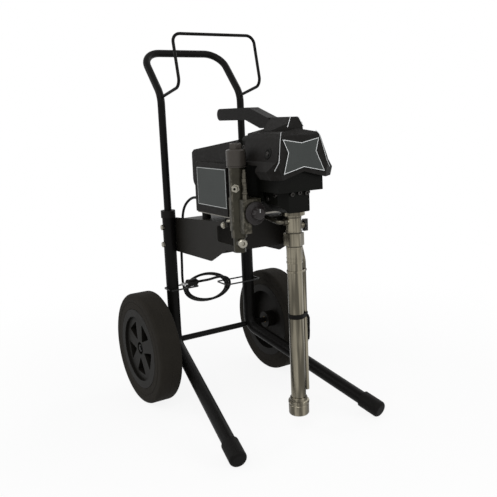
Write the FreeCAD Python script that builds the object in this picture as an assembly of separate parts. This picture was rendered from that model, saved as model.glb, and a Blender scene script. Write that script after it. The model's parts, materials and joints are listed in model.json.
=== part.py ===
import FreeCAD, Part
import math
import os
from FreeCAD import Vector

# Airless paint sprayer on a two-wheeled high cart, in millimetres.
# The model is drawn with the wheel axle in the plane y = 0, the pump towards -Y and the ground at
# z = 0. The save function moves every piece so that the origin lies under the middle of the object.

# General clearances
face_gap = 0.3
running_clearance = 0.05

# Wheels
wheel_radius = 150.0
wheel_width = 62.0
wheel_centre_x = 205.5
tyre_inner_radius = 108.0
tyre_edge_round = 9.0
rim_recess_radius = 88.0
rim_recess_depth = 7.0
hub_web_thickness = 26.0
hub_boss_radius = 24.0
nut_recess_radius = 17.0
nut_recess_depth = 18.0
spoke_pocket_count = 5
spoke_pocket_inner_radius = 24.0
spoke_pocket_outer_radius = 74.0
spoke_pocket_angle_deg = 42.0
spoke_pocket_depth = 18.0
spoke_pocket_round = 3.0
bush_wall = 2.5

# Axle
axle_radius = 6.0
axle_spacer_radius = 8.0
axle_nut_across_flats = 19.0
axle_nut_length = 8.0
axle_washer_radius = 14.0
axle_washer_thickness = 2.0
axle_end_overhang = 2.0
axle_spacer_gap = 2.0

# Cart tubes
leg_tube_radius = 16.85
leg_tube_wall = 2.0
leg_spacing = 244.0
leg_top_z = 512.0
leg_bend_radius = 40.0
leg_slope_deg = 14.8
leg_splay_deg = 10.4
leg_length = 489.0
foot_cap_radius = 21.0
foot_cap_length = 58.0
foot_cap_round = 8.0
foot_cap_end_wall = 7.0
collar_radius = 19.5
collar_height = 19.5
collar_lip = 5.0

# Telescoping handle and wire hose rack
handle_tube_radius = 10.0
handle_tube_wall = 1.6
handle_knee_z = 822.5
handle_top_y = 106.0
handle_top_z = 940.0
handle_corner_radius = 52.0
handle_knee_radius = 60.0
handle_travel = 240.0
guide_length = 32.0
guide_flange = 6.0
guide_clearance = 0.1
rack_wire_radius = 4.0
rack_inset = 2.0
rack_weld_z = 819.0
rack_front_y = -111.0
rack_front_z = 841.0
rack_top_y = -83.0
rack_top_z = 971.0
rack_bend_radius = 22.0

# Covers over the motor and the gear housing, from the rear forwards
shell_wall = 2.5
shroud_rear_y = -38.0
shroud_length = 248.0
shroud_front_y = shroud_rear_y - shroud_length
shroud_half_width = 76.0
shroud_top_half_width = 54.0
shroud_bottom_half_width = 50.0
shroud_rear_drop = 28.0
# setback from the rear end and share of the rear height, from the top down
shroud_rear_profile = ((28.0, 1.0), (6.0, 0.856), (0.0, 0.731), (3.0, 0.554), (16.0, 0.351), (42.0, 0.168), (62.0, 0.0))
# setback from the rear end and how much narrower each side is there
shroud_rear_plan = ((34.0, 0.0), (12.0, 10.0), (0.0, 32.0))
vent_slot_width = 5.0
vent_slot_pitch = 12.0
vent_slot_count = 9
vent_slot_depth = 34.0

# Motor and its base
base_top_z = 526.0
base_thickness = 4.0
base_half_width = 94.0
base_rear_reach = 28.0
motor_axis_height = 94.0
motor_axis_z = base_top_z + motor_axis_height
motor_radius = 46.0
motor_wall = 3.0
motor_length = 138.0
motor_shaft_radius = 6.0
motor_end_gap = 12.0
armature_radius = 30.0
armature_end_gap = 16.0
magnet_thickness = 8.0
bearing_outer_radius = 14.0
bearing_width = 9.0
fan_radius = 40.0
fan_reach = 22.0
fan_width = 14.0
fan_hub_radius = 14.0
fan_plate = 2.0
fan_blade_count = 9
saddle_half_width = 30.0
saddle_length = 24.0
saddle_inset = 8.0
rubber_mount_radius = 11.0
rubber_mount_height = 60.0
rubber_mount_x = 82.0
rubber_mount_inset = 24.0
rubber_mount_spacing = 117.0
rubber_mount_ys = (
    shroud_front_y + rubber_mount_inset + rubber_mount_spacing,
    shroud_front_y + rubber_mount_inset,
)

# Mounting bracket
bracket_sheet = 3.0
bracket_rear_y = 11.0
bracket_rear_top_z = 495.0
bracket_rear_bottom_z = 402.0
bracket_front_y = shroud_front_y - 4.0
bracket_front_top_z = base_top_z - 11.0
bracket_nose_y = bracket_front_y + 12.0
bracket_nose_z = 446.0
bracket_corner_y = bracket_front_y + 90.0
bracket_corner_z = 406.0
bracket_cross_y = bracket_front_y + 80.0
bracket_cross_bottom_z = 423.0
bracket_plate_rear_y = -52.0
bracket_notch_depth = 52.0
bracket_notch_top_z = bracket_front_top_z - 13.0
bracket_notch_bottom_z = bracket_nose_z + 16.0
bracket_corner_round = 6.0
bracket_tab_half_width = 8.0
bracket_bolt_radius = 4.0
bolt_across_flats = 13.0
bolt_head_height = 5.3
bracket_bolt_heights = (425.0, 472.0)

# Gears
tooth_pressure_angle_deg = 25.0
tooth_backlash = 0.12
pinion_teeth = 12
reduction_gear_teeth = 40
first_module = 1.25
reduction_pinion_teeth = 12
crank_gear_teeth = 36
second_module = 1.75
crank_axis_rise = 55.0
crank_axis_z = motor_axis_z + crank_axis_rise
pinion_width = 14.0
crank_gear_width = 12.0
gear_side_gap = 1.0
crank_shaft_radius = 12.0
crank_disc_radius = 22.0
crank_disc_thickness = 9.0
crank_throw = 12.0
crank_pin_radius = 7.0
crank_pin_gap = 0.4

# Castings
housing_rear_gap = 2.0
housing_rear_y = shroud_front_y - housing_rear_gap
housing_depth = 80.0
housing_front_y = housing_rear_y - housing_depth
housing_half_width = 56.0
housing_wall = 5.0
housing_bottom_z = motor_axis_z - 60.0
housing_top_z = crank_axis_z + 41.0
housing_corner_round = 18.0
motor_rear_y = housing_rear_y + motor_length
fan_y = motor_rear_y + fan_reach
base_rear_y = motor_rear_y + base_rear_reach
reduction_pin_radius = 4.0
nose_depth = 78.0
nose_front_y = housing_front_y - nose_depth
nose_half_width = 61.0
nose_top_half_width = 46.0
nose_top_slope = 48.0
nose_bottom_z = housing_bottom_z - 18.0
nose_bottom_half_width = 27.0
nose_low_half_width = 44.0
nose_low_slope = 18.0
nose_low_face_half_width = 29.0
nose_low_corner_depth = 22.0
nose_low_face_setback = 9.0
nose_shoulder_height = 48.0
nose_shoulder_z = nose_bottom_z + nose_shoulder_height
nose_top_setback = 2.0
nose_wall = 8.0
nose_room = 6.0
crank_bearing_radius = crank_shaft_radius + 6.0
rod_foot_clearance = 2.0

# Pump, on a vertical axis at x = 0
rod_axis_setback = 34.0
rod_axis_y = nose_front_y + rod_axis_setback
pump_cylinder_radius = 18.5
pump_bore_radius = 12.0
pump_socket_depth = 16.0
pump_cylinder_length = 64.0
pump_cylinder_bottom_z = nose_bottom_z - pump_cylinder_length
flange_radius = 27.0
flange_height = 8.0
packing_bottom_z = nose_bottom_z - 14.0
packing_height = 17.0
piston_rod_radius = 7.5
piston_rod_top_z = nose_bottom_z + 32.0
piston_bottom_z = pump_cylinder_bottom_z + 4.0
piston_height = 14.0
piston_seat_height = 4.0
piston_seat_radius = 3.5
piston_ball_radius = 5.0
piston_ball_room = 0.8
piston_ball_lift = 4.0
piston_stroke = 24.0
rod_half_thickness = 9.0
rod_big_end_radius = 14.0
rod_shank_half_width = 6.0
rod_foot_radius = 10.5
rod_foot_height = 18.0
outlet_port_z = nose_bottom_z - 22.0
relief_port_z = nose_bottom_z - 35.0
port_boss_radius = 8.0
port_boss_x = 21.0
coupling_nut_across_flats = 41.0
coupling_nut_low_z = pump_cylinder_bottom_z - 15.0
coupling_nut_high_z = pump_cylinder_bottom_z + 14.0
foot_valve_radius = 18.5
foot_valve_top_z = coupling_nut_low_z - 3.0
foot_valve_length = 39.0
foot_valve_bottom_z = foot_valve_top_z - foot_valve_length
foot_spigot_length = 21.0
intake_seat_z = foot_valve_bottom_z + 11.0
intake_seat_radius = 5.0
intake_ball_radius = 7.0
intake_ball_room = 1.5
intake_ball_lift = 8.0
suction_tube_radius = 18.0
suction_tube_wall = 1.5
suction_tube_bottom_z = 86.0
strainer_radius = 25.5
strainer_bottom_z = suction_tube_bottom_z - 37.0
strainer_top_z = suction_tube_bottom_z - 2.0
strainer_collar_top_z = suction_tube_bottom_z + 7.0
strainer_collar_radius = 21.0
strainer_wall = 3.0
strainer_slot_count = 12
strainer_slot_width = 3.0
strainer_slot_margin = 9.0
drain_tube_radius = 6.0
drain_tube_wall = 1.0
drain_tube_gap = 0.9
drain_bottom_z = suction_tube_bottom_z + 19.0
drain_bend_radius = 30.0
drain_bend_drop = 40.0
drain_top_x = 31.0
drain_top_reach = 22.0
drain_top_y = rod_axis_y + drain_top_reach
clip_wall = 1.5
clip_heights = (suction_tube_bottom_z + 202.0, suction_tube_bottom_z + 312.0)
clip_width = 12.0
valve_half_height = 8.0
valve_hub_length = 6.0
prime_knob_radius = 13.0
prime_knob_width = 10.0
prime_knob_disc_radius = 10.0
prime_grip_overhang = 1.0
prime_grip_half_thickness = 4.0
prime_stem_radius = 3.5

# Fluid section beside the drive housing
column_x = -housing_half_width - 40.0
column_y = housing_front_y + 40.5
column_radius = 18.5
column_bore_radius = 13.5
column_foot_radius = 14.5
column_foot_length = 35.0
manifold_overhang = 8.0
manifold_rear_y = housing_rear_y - 12.0
manifold_front_y = housing_front_y + 4.0
manifold_top_z = housing_bottom_z + 14.0
manifold_bottom_z = housing_bottom_z - 44.0
manifold_low_half_width = 10.5
manifold_low_bottom_z = housing_bottom_z - 65.0
column_floor_z = manifold_low_bottom_z + 5.0
column_bottom_z = manifold_low_bottom_z - 12.0
column_foot_z = column_bottom_z - column_foot_length
column_rise = 72.0
column_top_z = manifold_top_z + column_rise
filter_cap_radius = 23.0
filter_cap_height = 41.0
filter_cap_top_z = column_top_z + filter_cap_height
filter_cap_hex = 24.0
filter_cap_hex_height = 14.0
filter_element_radius = 10.0
filter_element_wall = 2.5
filter_element_rise = 22.0
filter_element_top_z = column_top_z + filter_element_rise
filter_end_gap = 2.0
hose_port_angle_deg = 40.0
hose_port_z = column_top_z - 46.0
hose_boss_radius = 8.0
port_boss_length = 19.0
plug_port_angle_deg = 11.0
plug_port_z = column_foot_z + 23.0
plug_boss_radius = 11.5
plug_hex = 19.0
hose_thread_radius = 6.6
hose_thread_length = 14.0
hose_bore_radius = 3.0
port_hex = 17.0
port_hex_length = 7.0
sensor_x = column_x + 3.5
sensor_y = manifold_front_y + 8.5
sensor_steps = ((8.0, 16.0), (6.5, 22.0), (8.0, 10.0), (5.5, 14.0), (4.5, 6.0))
outlet_pipe_radius = 5.0
outlet_pipe_wall = 1.2
outlet_pipe_bend_x = -39.0
outlet_pipe_end_y = housing_front_y + 23.0
outlet_pipe_end_z = manifold_bottom_z + 12.0
outlet_pipe_bend = 10.0
union_nut_hex = 14.0
union_nut_length = 7.0
knob_x = column_x + 22.0
knob_z = housing_bottom_z - 19.0
knob_shaft_radius = 4.0
knob_shaft_length = 16.0
knob_skirt_radius = 27.0
knob_skirt_thickness = 4.0
knob_grip_radius = 14.0
knob_grip_length = 18.0
knob_gap = 2.0

# Mains cord: its route behind the bracket, its loops between the uprights and the ties
cord_radius = 3.5
cord_exit_run = 22.0
coil_run_in = 26.0
# from the box down behind the bracket
cord_route = (
    (-90.0, -51.0, 540.0),
    (-91.0, -30.0, 517.0),
    (-87.0, -14.0, 485.0),
    (-85.0, 1.0, 447.0),
    (-84.0, 10.0, 400.0),
    (-83.0, 14.0, 352.0),
)
coil_centre_x = -20.0
coil_centre_y = 2.0
coil_centre_z = 284.0
coil_half_length = 65.0
coil_half_height = 37.0
coil_tilt_deg = 70.0
coil_pitch = 8.5
coil_fan = 0.2
coil_quarters = 11
coil_end_swing = 10.0
coil_end_flattening = 0.55
coil_lead = 7.0
plug_lead = 36.0
plug_body_radius = 11.0
plug_body_length = 30.0
plug_neck_length = 6.0
plug_pin_length = 15.0
plug_pin_spacing = 12.0
tie_thickness = 1.5
tie_height = 4.0
right_tie_rise = 4.0
tie_reach_share = 0.745
left_tie_reach = -54.0

# Front cover, its hood and the carry handle
cover_rear_y = housing_rear_y - 24.0
cover_gap = 15.0
cover_front_y = nose_front_y - cover_gap
cover_front_slope = 0.136
cover_top_z = housing_top_z + 15.0
cover_shoulder_z = cover_top_z - 10.0
cover_bottom_z = cover_top_z - 111.0
cover_rear_bottom_z = cover_bottom_z + 31.0
cover_cheek_half_width = 91.0
cover_cheek_z = cover_bottom_z + 20.0
cover_cheek_depth = 56.0
cover_chin_depth = 17.0
cover_step_depth = 69.0
cover_rear_half_width = 67.0
cover_face_half_width = 58.0
cover_waist_half_width = 71.0
cover_waist_z = cover_bottom_z + 40.0
cover_shoulder_half_width = 56.0
cover_shoulder_bevel = 5.0
cover_chin_rise = 16.0
hood_rise = 25.0
hood_top_z = cover_top_z + hood_rise
hood_front_y = cover_front_y + 35.0
hood_half_width = 10.0
hood_face_half_width = 21.0
hood_side_reach = 44.0
hood_slope = 4.0
hood_root = 12.0
hood_flare = 22.0
badge_thickness = 1.5
# half width and height above the cover's bottom, from the top middle round to the bottom middle
badge_outline = ((0.0, 80.0), (50.6, 89.0), (39.0, 59.0), (57.0, 12.0), (0.0, 25.0))
handle_foot_front_y = hood_front_y + 80.0
handle_foot_rear_y = handle_foot_front_y + 40.0
handle_bar_bottom_z = hood_top_z - 5.0
handle_bar_height = 30.0
handle_bar_top_z = handle_bar_bottom_z + handle_bar_height
handle_bar_rear_y = shroud_rear_y - 66.0
handle_bend_top_y = shroud_front_y + 27.0
handle_bend_bottom_y = shroud_front_y + 43.0
handle_arm_front_y = handle_foot_front_y + 7.0
handle_bar_half_width = 14.0
handle_top_bend = 18.0
handle_bottom_bend = 14.0
handle_foot_round = 4.0

# Control box
box_outer_x = 100.0
box_length = 160.0
box_front_y = shroud_front_y
box_rear_y = box_front_y + box_length
box_bottom_z = base_top_z + face_gap
box_height = 125.7
box_top_z = box_bottom_z + box_height
box_wall = 2.5
label_front_margin = 1.0
label_rear_margin = 15.0
label_bottom_margin = 18.7
label_top_margin = 12.0
label_thickness = 1.2
board_thickness = 1.6
board_standoff = 6.0
board_margin = 14.0
board_post_radius = 3.0
board_post_root = 0.5
switch_z = box_bottom_z + 85.7
switch_x = 82.0
switch_half_height = 11.0
switch_half_width = 6.5
switch_gap = 0.5
switch_bevel = 1.6
switch_depth = 9.0
switch_pin_radius = 1.5
switch_pin_depth = 4.0
switch_pin_overhang = 1.8
switch_frame_wall = 3.0
switch_frame_depth = 10.0
switch_tilt_deg = 10.0
cord_exit_x = 84.0
cord_exit_z = box_bottom_z + 29.7
relief_radius = 8.0
relief_length = 26.0
relief_neck_step = 2.0
relief_taper = 3.0

leg_x = leg_spacing / 2.0
rack_half_width = leg_x - rack_inset
shroud_widest_z = base_top_z + 120.0
shroud_front_top_z = housing_top_z - 9.0
shroud_rear_top_z = shroud_front_top_z - shroud_rear_drop
wheel_inner_x = wheel_centre_x - wheel_width / 2.0
wheel_outer_x = wheel_centre_x + wheel_width / 2.0
boss_outer_x = wheel_outer_x - nut_recess_depth


def cylinder(radius, length, base, direction):
    return Part.makeCylinder(radius, length, Vector(*base), Vector(*direction))


def ring(outer_radius, inner_radius, length, base, direction):
    outer = cylinder(outer_radius, length, base, direction)
    return outer.cut(cylinder(inner_radius, length, base, direction))


def box(low, high):
    size = [b - a for a, b in zip(low, high)]
    return Part.makeBox(size[0], size[1], size[2], Vector(*low))


def hexagon(across_flats, length, base, direction):
    corner_radius = across_flats / math.sqrt(3.0)
    points = []
    for step in range(7):
        angle = math.radians(60.0 * step)
        points.append(Vector(corner_radius * math.cos(angle), corner_radius * math.sin(angle), 0))
    prism = Part.Face(Part.makePolygon(points)).extrude(Vector(0, 0, length))
    prism.Placement = FreeCAD.Placement(
        Vector(*base), FreeCAD.Rotation(Vector(0, 0, 1), Vector(*direction))
    )
    return prism


def mirrored(shape):
    return shape.mirror(Vector(0, 0, 0), Vector(1, 0, 0))


def tangent_wire(points, radii):
    """Straight runs through the points, joined by tangent arcs of the given radii."""
    edges = []
    start = points[0]
    for index in range(1, len(points) - 1):
        corner = points[index]
        back = (points[index - 1] - corner).normalize()
        ahead = (points[index + 1] - corner).normalize()
        half_angle = back.getAngle(ahead) / 2.0
        radius = radii[index - 1]
        tangent = radius / math.tan(half_angle)
        arc_start = corner + back * tangent
        arc_end = corner + ahead * tangent
        centre = corner + (back + ahead).normalize() * (radius / math.sin(half_angle))
        middle = centre + (corner - centre).normalize() * radius
        edges.append(Part.LineSegment(start, arc_start).toShape())
        edges.append(Part.Arc(arc_start, middle, arc_end).toShape())
        start = arc_end
    edges.append(Part.LineSegment(start, points[-1]).toShape())
    return Part.Wire(edges)


def rounded_outline(points, radii):
    """Closed outline through the points, each corner rounded by its radius."""
    edges = []
    count = len(points)
    starts = []
    ends = []
    arcs = []
    for index in range(count):
        corner = points[index]
        back = (points[index - 1] - corner).normalize()
        ahead = (points[(index + 1) % count] - corner).normalize()
        half_angle = back.getAngle(ahead) / 2.0
        radius = radii[index]
        tangent = radius / math.tan(half_angle)
        starts.append(corner + back * tangent)
        ends.append(corner + ahead * tangent)
        centre = corner + (back + ahead).normalize() * (radius / math.sin(half_angle))
        middle = centre + (corner - centre).normalize() * radius
        arcs.append(middle)
    for index in range(count):
        edges.append(Part.Arc(starts[index], arcs[index], ends[index]).toShape())
        edges.append(Part.LineSegment(ends[index], starts[(index + 1) % count]).toShape())
    return Part.Wire(edges)


def sweep(path, radius):
    """Round bar of the given radius along a path of lines and arcs."""
    first = path.OrderedEdges[0]
    tangent = first.tangentAt(first.FirstParameter)
    circle = Part.Circle(first.valueAt(first.FirstParameter), tangent, radius)
    return Part.Wire(path.OrderedEdges).makePipeShell([Part.Wire([circle.toShape()])], True, False)


def tube(path, radius, wall):
    return sweep(path, radius).cut(sweep(path, radius - wall))


def prism_yz(outline, x_low, x_high):
    """Plate of an outline given as (y, z) pairs, between two x planes."""
    points = [Vector(x_low, y, z) for y, z in outline]
    points.append(points[0])
    return Part.Face(Part.makePolygon(points)).extrude(Vector(x_high - x_low, 0, 0))


def rounded_prism_yz(outline, radius, x_low, x_high):
    points = [Vector(x_low, y, z) for y, z in outline]
    wire = rounded_outline(points, [radius] * len(points))
    return Part.Face(wire).extrude(Vector(x_high - x_low, 0, 0))


def leg_geometry():
    """Corner and foot points of the right leg and its direction."""
    slope = math.radians(leg_slope_deg)
    splay = math.radians(leg_splay_deg)
    direction = Vector(
        math.cos(slope) * math.sin(splay), -math.cos(slope) * math.cos(splay), -math.sin(slope)
    )
    foot_height = (foot_cap_radius - foot_cap_round) * math.cos(slope) + foot_cap_round
    foot = Vector(leg_x, 0, foot_height + leg_length * math.sin(slope)) + direction * leg_length
    return foot - direction * leg_length, foot, direction


def leg_path():
    corner, foot, direction = leg_geometry()
    tube_end = foot + direction * (foot_cap_round - foot_cap_end_wall)
    return tangent_wire([Vector(leg_x, 0, leg_top_z), corner, tube_end], [leg_bend_radius])


def leg_tube():
    """Bent steel tube that is upright and front leg in one."""
    leg = tube(leg_path(), leg_tube_radius, leg_tube_wall)
    axle_hole = cylinder(
        axle_radius + face_gap, 4 * leg_tube_radius, (leg_x - 2 * leg_tube_radius, 0, wheel_radius), (1, 0, 0)
    )
    leg = leg.cut(axle_hole)
    for height in bracket_bolt_heights:
        bolt_hole = cylinder(
            bracket_bolt_radius + face_gap, 4 * leg_tube_radius, (leg_x - 2 * leg_tube_radius, 0, height), (1, 0, 0)
        )
        leg = leg.cut(bolt_hole)
    return leg


def foot_cap():
    """Rubber cap with a rounded end, pushed over the leg's front end."""
    corner, foot, direction = leg_geometry()
    cap_end = foot + direction * foot_cap_round
    cap_start = cap_end - direction * foot_cap_length
    cap = Part.makeCylinder(foot_cap_radius, foot_cap_length, cap_start, direction)
    end_edges = []
    for edge in cap.Edges:
        if edge.Curve.TypeId == "Part::GeomCircle" and (edge.Curve.Center - cap_end).Length < 1.0:
            end_edges.append(edge)
    cap = cap.makeFillet(foot_cap_round, end_edges)
    return cap.cut(Part.makeCylinder(leg_tube_radius, foot_cap_length - foot_cap_end_wall, cap_start, direction))


def collar(side):
    """Plastic collar that closes the upright's top round the handle tube."""
    x = side * leg_x
    base = leg_top_z - collar_height + collar_lip
    body = ring(collar_radius, leg_tube_radius + running_clearance, collar_height - collar_lip, (x, 0, base), (0, 0, 1))
    lip = ring(collar_radius, handle_tube_radius + running_clearance, collar_lip, (x, 0, leg_top_z), (0, 0, 1))
    inner_radius = leg_tube_radius - leg_tube_wall - running_clearance
    skirt = ring(inner_radius, handle_tube_radius + running_clearance, collar_height, (x, 0, leg_top_z - collar_height), (0, 0, 1))
    return body.fuse([lip, skirt]).removeSplitter()


def tyre():
    """Right tyre, solid rubber with rounded shoulders."""
    body = cylinder(wheel_radius, wheel_width, (wheel_inner_x, 0, wheel_radius), (1, 0, 0))
    rims = []
    for edge in body.Edges:
        if edge.Curve.TypeId == "Part::GeomCircle":
            rims.append(edge)
    body = body.makeFillet(tyre_edge_round, rims)
    return body.cut(cylinder(tyre_inner_radius, wheel_width, (wheel_inner_x, 0, wheel_radius), (1, 0, 0)))


def spoke_pocket(angle_deg):
    """Wedge-shaped pocket between two spokes, sunk into the outer face."""
    half_angle = math.radians(spoke_pocket_angle_deg / 2.0)
    middle = math.radians(angle_deg)
    apex = spoke_pocket_inner_radius
    outline = []
    for radius, turn in ((apex, 0.0), (spoke_pocket_outer_radius, -half_angle), (spoke_pocket_outer_radius, half_angle)):
        y = radius * math.sin(middle + turn)
        z = wheel_radius + radius * math.cos(middle + turn)
        outline.append((y, z))
    floor_x = wheel_outer_x - rim_recess_depth - spoke_pocket_depth
    return rounded_prism_yz(outline, spoke_pocket_round, floor_x, wheel_outer_x)


def wheel_hub():
    """Right hub, moulded: web with wedge pockets, rim band and a boss for the bush."""
    axis_point = (wheel_inner_x, 0, wheel_radius)
    band = ring(tyre_inner_radius, rim_recess_radius, wheel_width, axis_point, (1, 0, 0))
    web_start = wheel_outer_x - rim_recess_depth - hub_web_thickness
    web = cylinder(rim_recess_radius, hub_web_thickness, (web_start, 0, wheel_radius), (1, 0, 0))
    boss = cylinder(hub_boss_radius, boss_outer_x - wheel_inner_x, axis_point, (1, 0, 0))
    hub = band.fuse([web, boss])
    for number in range(spoke_pocket_count):
        hub = hub.cut(spoke_pocket(360.0 * (number + 0.5) / spoke_pocket_count))
    hub = hub.cut(cylinder(nut_recess_radius, nut_recess_depth, (boss_outer_x, 0, wheel_radius), (1, 0, 0)))
    bore = cylinder(axle_radius + running_clearance + bush_wall, wheel_width, axis_point, (1, 0, 0))
    return hub.cut(bore).removeSplitter()


def wheel_bushes():
    """Plain bushes on the axle, on which the hubs turn."""
    right = ring(
        axle_radius + bush_wall, axle_radius, boss_outer_x - wheel_inner_x, (wheel_inner_x, 0, wheel_radius), (1, 0, 0)
    )
    return Part.makeCompound([right, mirrored(right)])


def axle():
    half = boss_outer_x + face_gap + axle_washer_thickness + axle_nut_length + axle_end_overhang
    return cylinder(axle_radius, 2 * half, (-half, 0, wheel_radius), (1, 0, 0))


def axle_spacers():
    """Sleeves that hold the tubes and the wheels apart."""
    tube_inside = leg_x - leg_tube_radius - axle_spacer_gap
    tube_outside = leg_x + leg_tube_radius + axle_spacer_gap
    boss_inside = wheel_inner_x - face_gap
    middle = ring(axle_spacer_radius, axle_radius, 2 * tube_inside, (-tube_inside, 0, wheel_radius), (1, 0, 0))
    right = ring(axle_spacer_radius, axle_radius, boss_inside - tube_outside, (tube_outside, 0, wheel_radius), (1, 0, 0))
    return Part.makeCompound([middle, right, mirrored(right)])


def axle_fasteners():
    """Washer and lock nut outside each wheel."""
    start = boss_outer_x + face_gap
    washer = ring(axle_washer_radius, axle_radius, axle_washer_thickness, (start, 0, wheel_radius), (1, 0, 0))
    nut_start = start + axle_washer_thickness
    nut = hexagon(axle_nut_across_flats, axle_nut_length, (nut_start, 0, wheel_radius), (1, 0, 0))
    nut = nut.cut(cylinder(axle_radius, axle_nut_length, (nut_start, 0, wheel_radius), (1, 0, 0)))
    return Part.makeCompound([washer, nut, mirrored(washer), mirrored(nut)])


def handle_bottom_z():
    """Height of the handle's lower ends when it is drawn out: its travel above the legs' bends."""
    corner, foot, direction = leg_geometry()
    bend_angle = math.radians(90.0 - leg_slope_deg)
    bend_top_z = corner.z + leg_bend_radius * math.tan(bend_angle / 2.0)
    return bend_top_z + handle_travel + guide_flange + face_gap


def handle_path():
    """Centre line of the handle tube from the left insert over the crossbar to the right insert."""
    bottom_z = handle_bottom_z()
    points = []
    for side in (-1.0, 1.0):
        half = [
            Vector(side * leg_x, 0, bottom_z),
            Vector(side * leg_x, 0, handle_knee_z),
            Vector(side * leg_x, handle_top_y, handle_top_z),
        ]
        points += half if side < 0 else half[::-1]
    radii = [handle_knee_radius, handle_corner_radius, handle_corner_radius, handle_knee_radius]
    return tangent_wire(points, radii)


def handle_tube():
    return tube(handle_path(), handle_tube_radius, handle_tube_wall)


def handle_guides():
    """Plastic plugs that guide the handle's ends inside the uprights."""
    bore = leg_tube_radius - leg_tube_wall
    bottom_z = handle_bottom_z()
    outer_radius = bore - guide_clearance
    flange = cylinder(outer_radius, guide_length, (leg_x, 0, bottom_z - guide_flange), (0, 0, 1))
    pocket = cylinder(handle_tube_radius, guide_length, (leg_x, 0, bottom_z), (0, 0, 1))
    guide = flange.cut(pocket)
    return Part.makeCompound([guide, mirrored(guide)])


def handle_front_y(z):
    """Front of the handle tube at a height near its knee."""
    lean = math.atan2(handle_top_y, handle_top_z - handle_knee_z)
    bend_start_z = handle_knee_z - handle_knee_radius * math.tan(lean / 2.0)
    into_bend = max(0.0, z - bend_start_z)
    return handle_knee_radius - math.sqrt(handle_knee_radius ** 2 - into_bend ** 2) - handle_tube_radius


def rack_path():
    """Centre line of the wire loop that stands up from the handle's knees."""
    weld_y = handle_front_y(rack_weld_z - rack_wire_radius) - face_gap
    half = rack_half_width
    points = [
        Vector(-half, weld_y, rack_weld_z),
        Vector(-half, rack_front_y, rack_front_z),
        Vector(-half, rack_top_y, rack_top_z),
        Vector(half, rack_top_y, rack_top_z),
        Vector(half, rack_front_y, rack_front_z),
        Vector(half, weld_y, rack_weld_z),
    ]
    return tangent_wire(points, [rack_bend_radius] * 4)


def hose_rack():
    return sweep(rack_path(), rack_wire_radius)


def bracket_top_z(y):
    """Height of the bracket's top edge at y."""
    share = (y - bracket_rear_y) / (bracket_front_y - bracket_rear_y)
    return bracket_rear_top_z + share * (bracket_front_top_z - bracket_rear_top_z)


def side_plate(outline, side):
    """One bent-up side of the bracket, inside the upright of that side."""
    outer_x = leg_x - leg_tube_radius - face_gap
    plate = rounded_prism_yz(outline, bracket_corner_round, outer_x - bracket_sheet, outer_x)
    return plate if side > 0 else mirrored(plate)


def mounting_bracket():
    """Folded sheet: two side plates, the top plate, a cross plate and the tab behind the column's foot."""
    outer_x = leg_x - leg_tube_radius - face_gap
    right_outline = [
        (bracket_rear_y, bracket_rear_top_z),
        (bracket_front_y, bracket_front_top_z),
        (bracket_nose_y, bracket_nose_z),
        (bracket_corner_y, bracket_corner_z),
        (bracket_rear_y, bracket_rear_bottom_z),
    ]
    tongue_y = column_y + column_foot_radius + face_gap
    notch_y = bracket_front_y + bracket_notch_depth
    left_outline = [
        (bracket_rear_y, bracket_rear_top_z),
        (bracket_front_y, bracket_front_top_z),
        (bracket_front_y, bracket_notch_top_z),
        (notch_y, bracket_notch_top_z),
        (notch_y, bracket_notch_bottom_z),
        (tongue_y, bracket_notch_bottom_z),
        (tongue_y, bracket_nose_z),
        (bracket_nose_y, bracket_nose_z),
        (bracket_corner_y, bracket_corner_z),
        (bracket_rear_y, bracket_rear_bottom_z),
    ]
    plates = [side_plate(right_outline, 1.0), side_plate(left_outline, -1.0)]
    top_outline = []
    for y in (bracket_plate_rear_y, bracket_front_y + bracket_corner_round):
        top_outline.append((y, bracket_top_z(y)))
    for y in (bracket_front_y + bracket_corner_round, bracket_plate_rear_y):
        top_outline.append((y, bracket_top_z(y) - bracket_sheet))
    plates.append(prism_yz(top_outline, -outer_x, outer_x))
    cross_top_z = bracket_top_z(bracket_cross_y) - bracket_sheet / 2.0
    cross_low = (-outer_x, bracket_cross_y, bracket_cross_bottom_z)
    plates.append(box(cross_low, (outer_x, bracket_cross_y + bracket_sheet, cross_top_z)))
    tab_low = (min(-outer_x, column_x - bracket_tab_half_width), tongue_y, bracket_nose_z)
    tab_high = (column_x + bracket_tab_half_width, tongue_y + bracket_sheet, bracket_notch_bottom_z)
    plates.append(box(tab_low, tab_high))
    bracket = plates[0].fuse(plates[1:]).removeSplitter()
    for height in bracket_bolt_heights:
        hole = cylinder(bracket_bolt_radius, 2 * outer_x, (-outer_x, 0, height), (1, 0, 0))
        bracket = bracket.cut(hole)
    return bracket


def bracket_bolts():
    """Short bolts into each upright's wall from outside and, through the bracket, from inside."""
    reach = leg_tube_radius - leg_tube_wall + running_clearance
    solids = []
    for height in bracket_bolt_heights:
        for side, seat in ((1.0, leg_tube_radius), (-1.0, leg_tube_radius + face_gap + bracket_sheet)):
            shank = cylinder(bracket_bolt_radius, seat - reach, (leg_x + side * reach, 0, height), (side, 0, 0))
            head = hexagon(bolt_across_flats, bolt_head_height, (leg_x + side * seat, 0, height), (side, 0, 0))
            bolt = shank.fuse(head).removeSplitter()
            solids += [bolt, mirrored(bolt)]
    return Part.makeCompound(solids)


def intersection(shapes):
    common = shapes[0]
    for shape in shapes[1:]:
        common = common.common(shape)
    return common


def symmetric_prism_xz(half_outline, y_low, y_high):
    """Prism along Y of a left-right symmetric outline, given as its right half of (x, z) pairs."""
    right = [Vector(x, y_low, z) for x, z in half_outline]
    left = [Vector(-x, y_low, z) for x, z in reversed(half_outline) if x > 0.0]
    points = right + left
    points.append(points[0])
    return Part.Face(Part.makePolygon(points)).extrude(Vector(0, y_high - y_low, 0))


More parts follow.
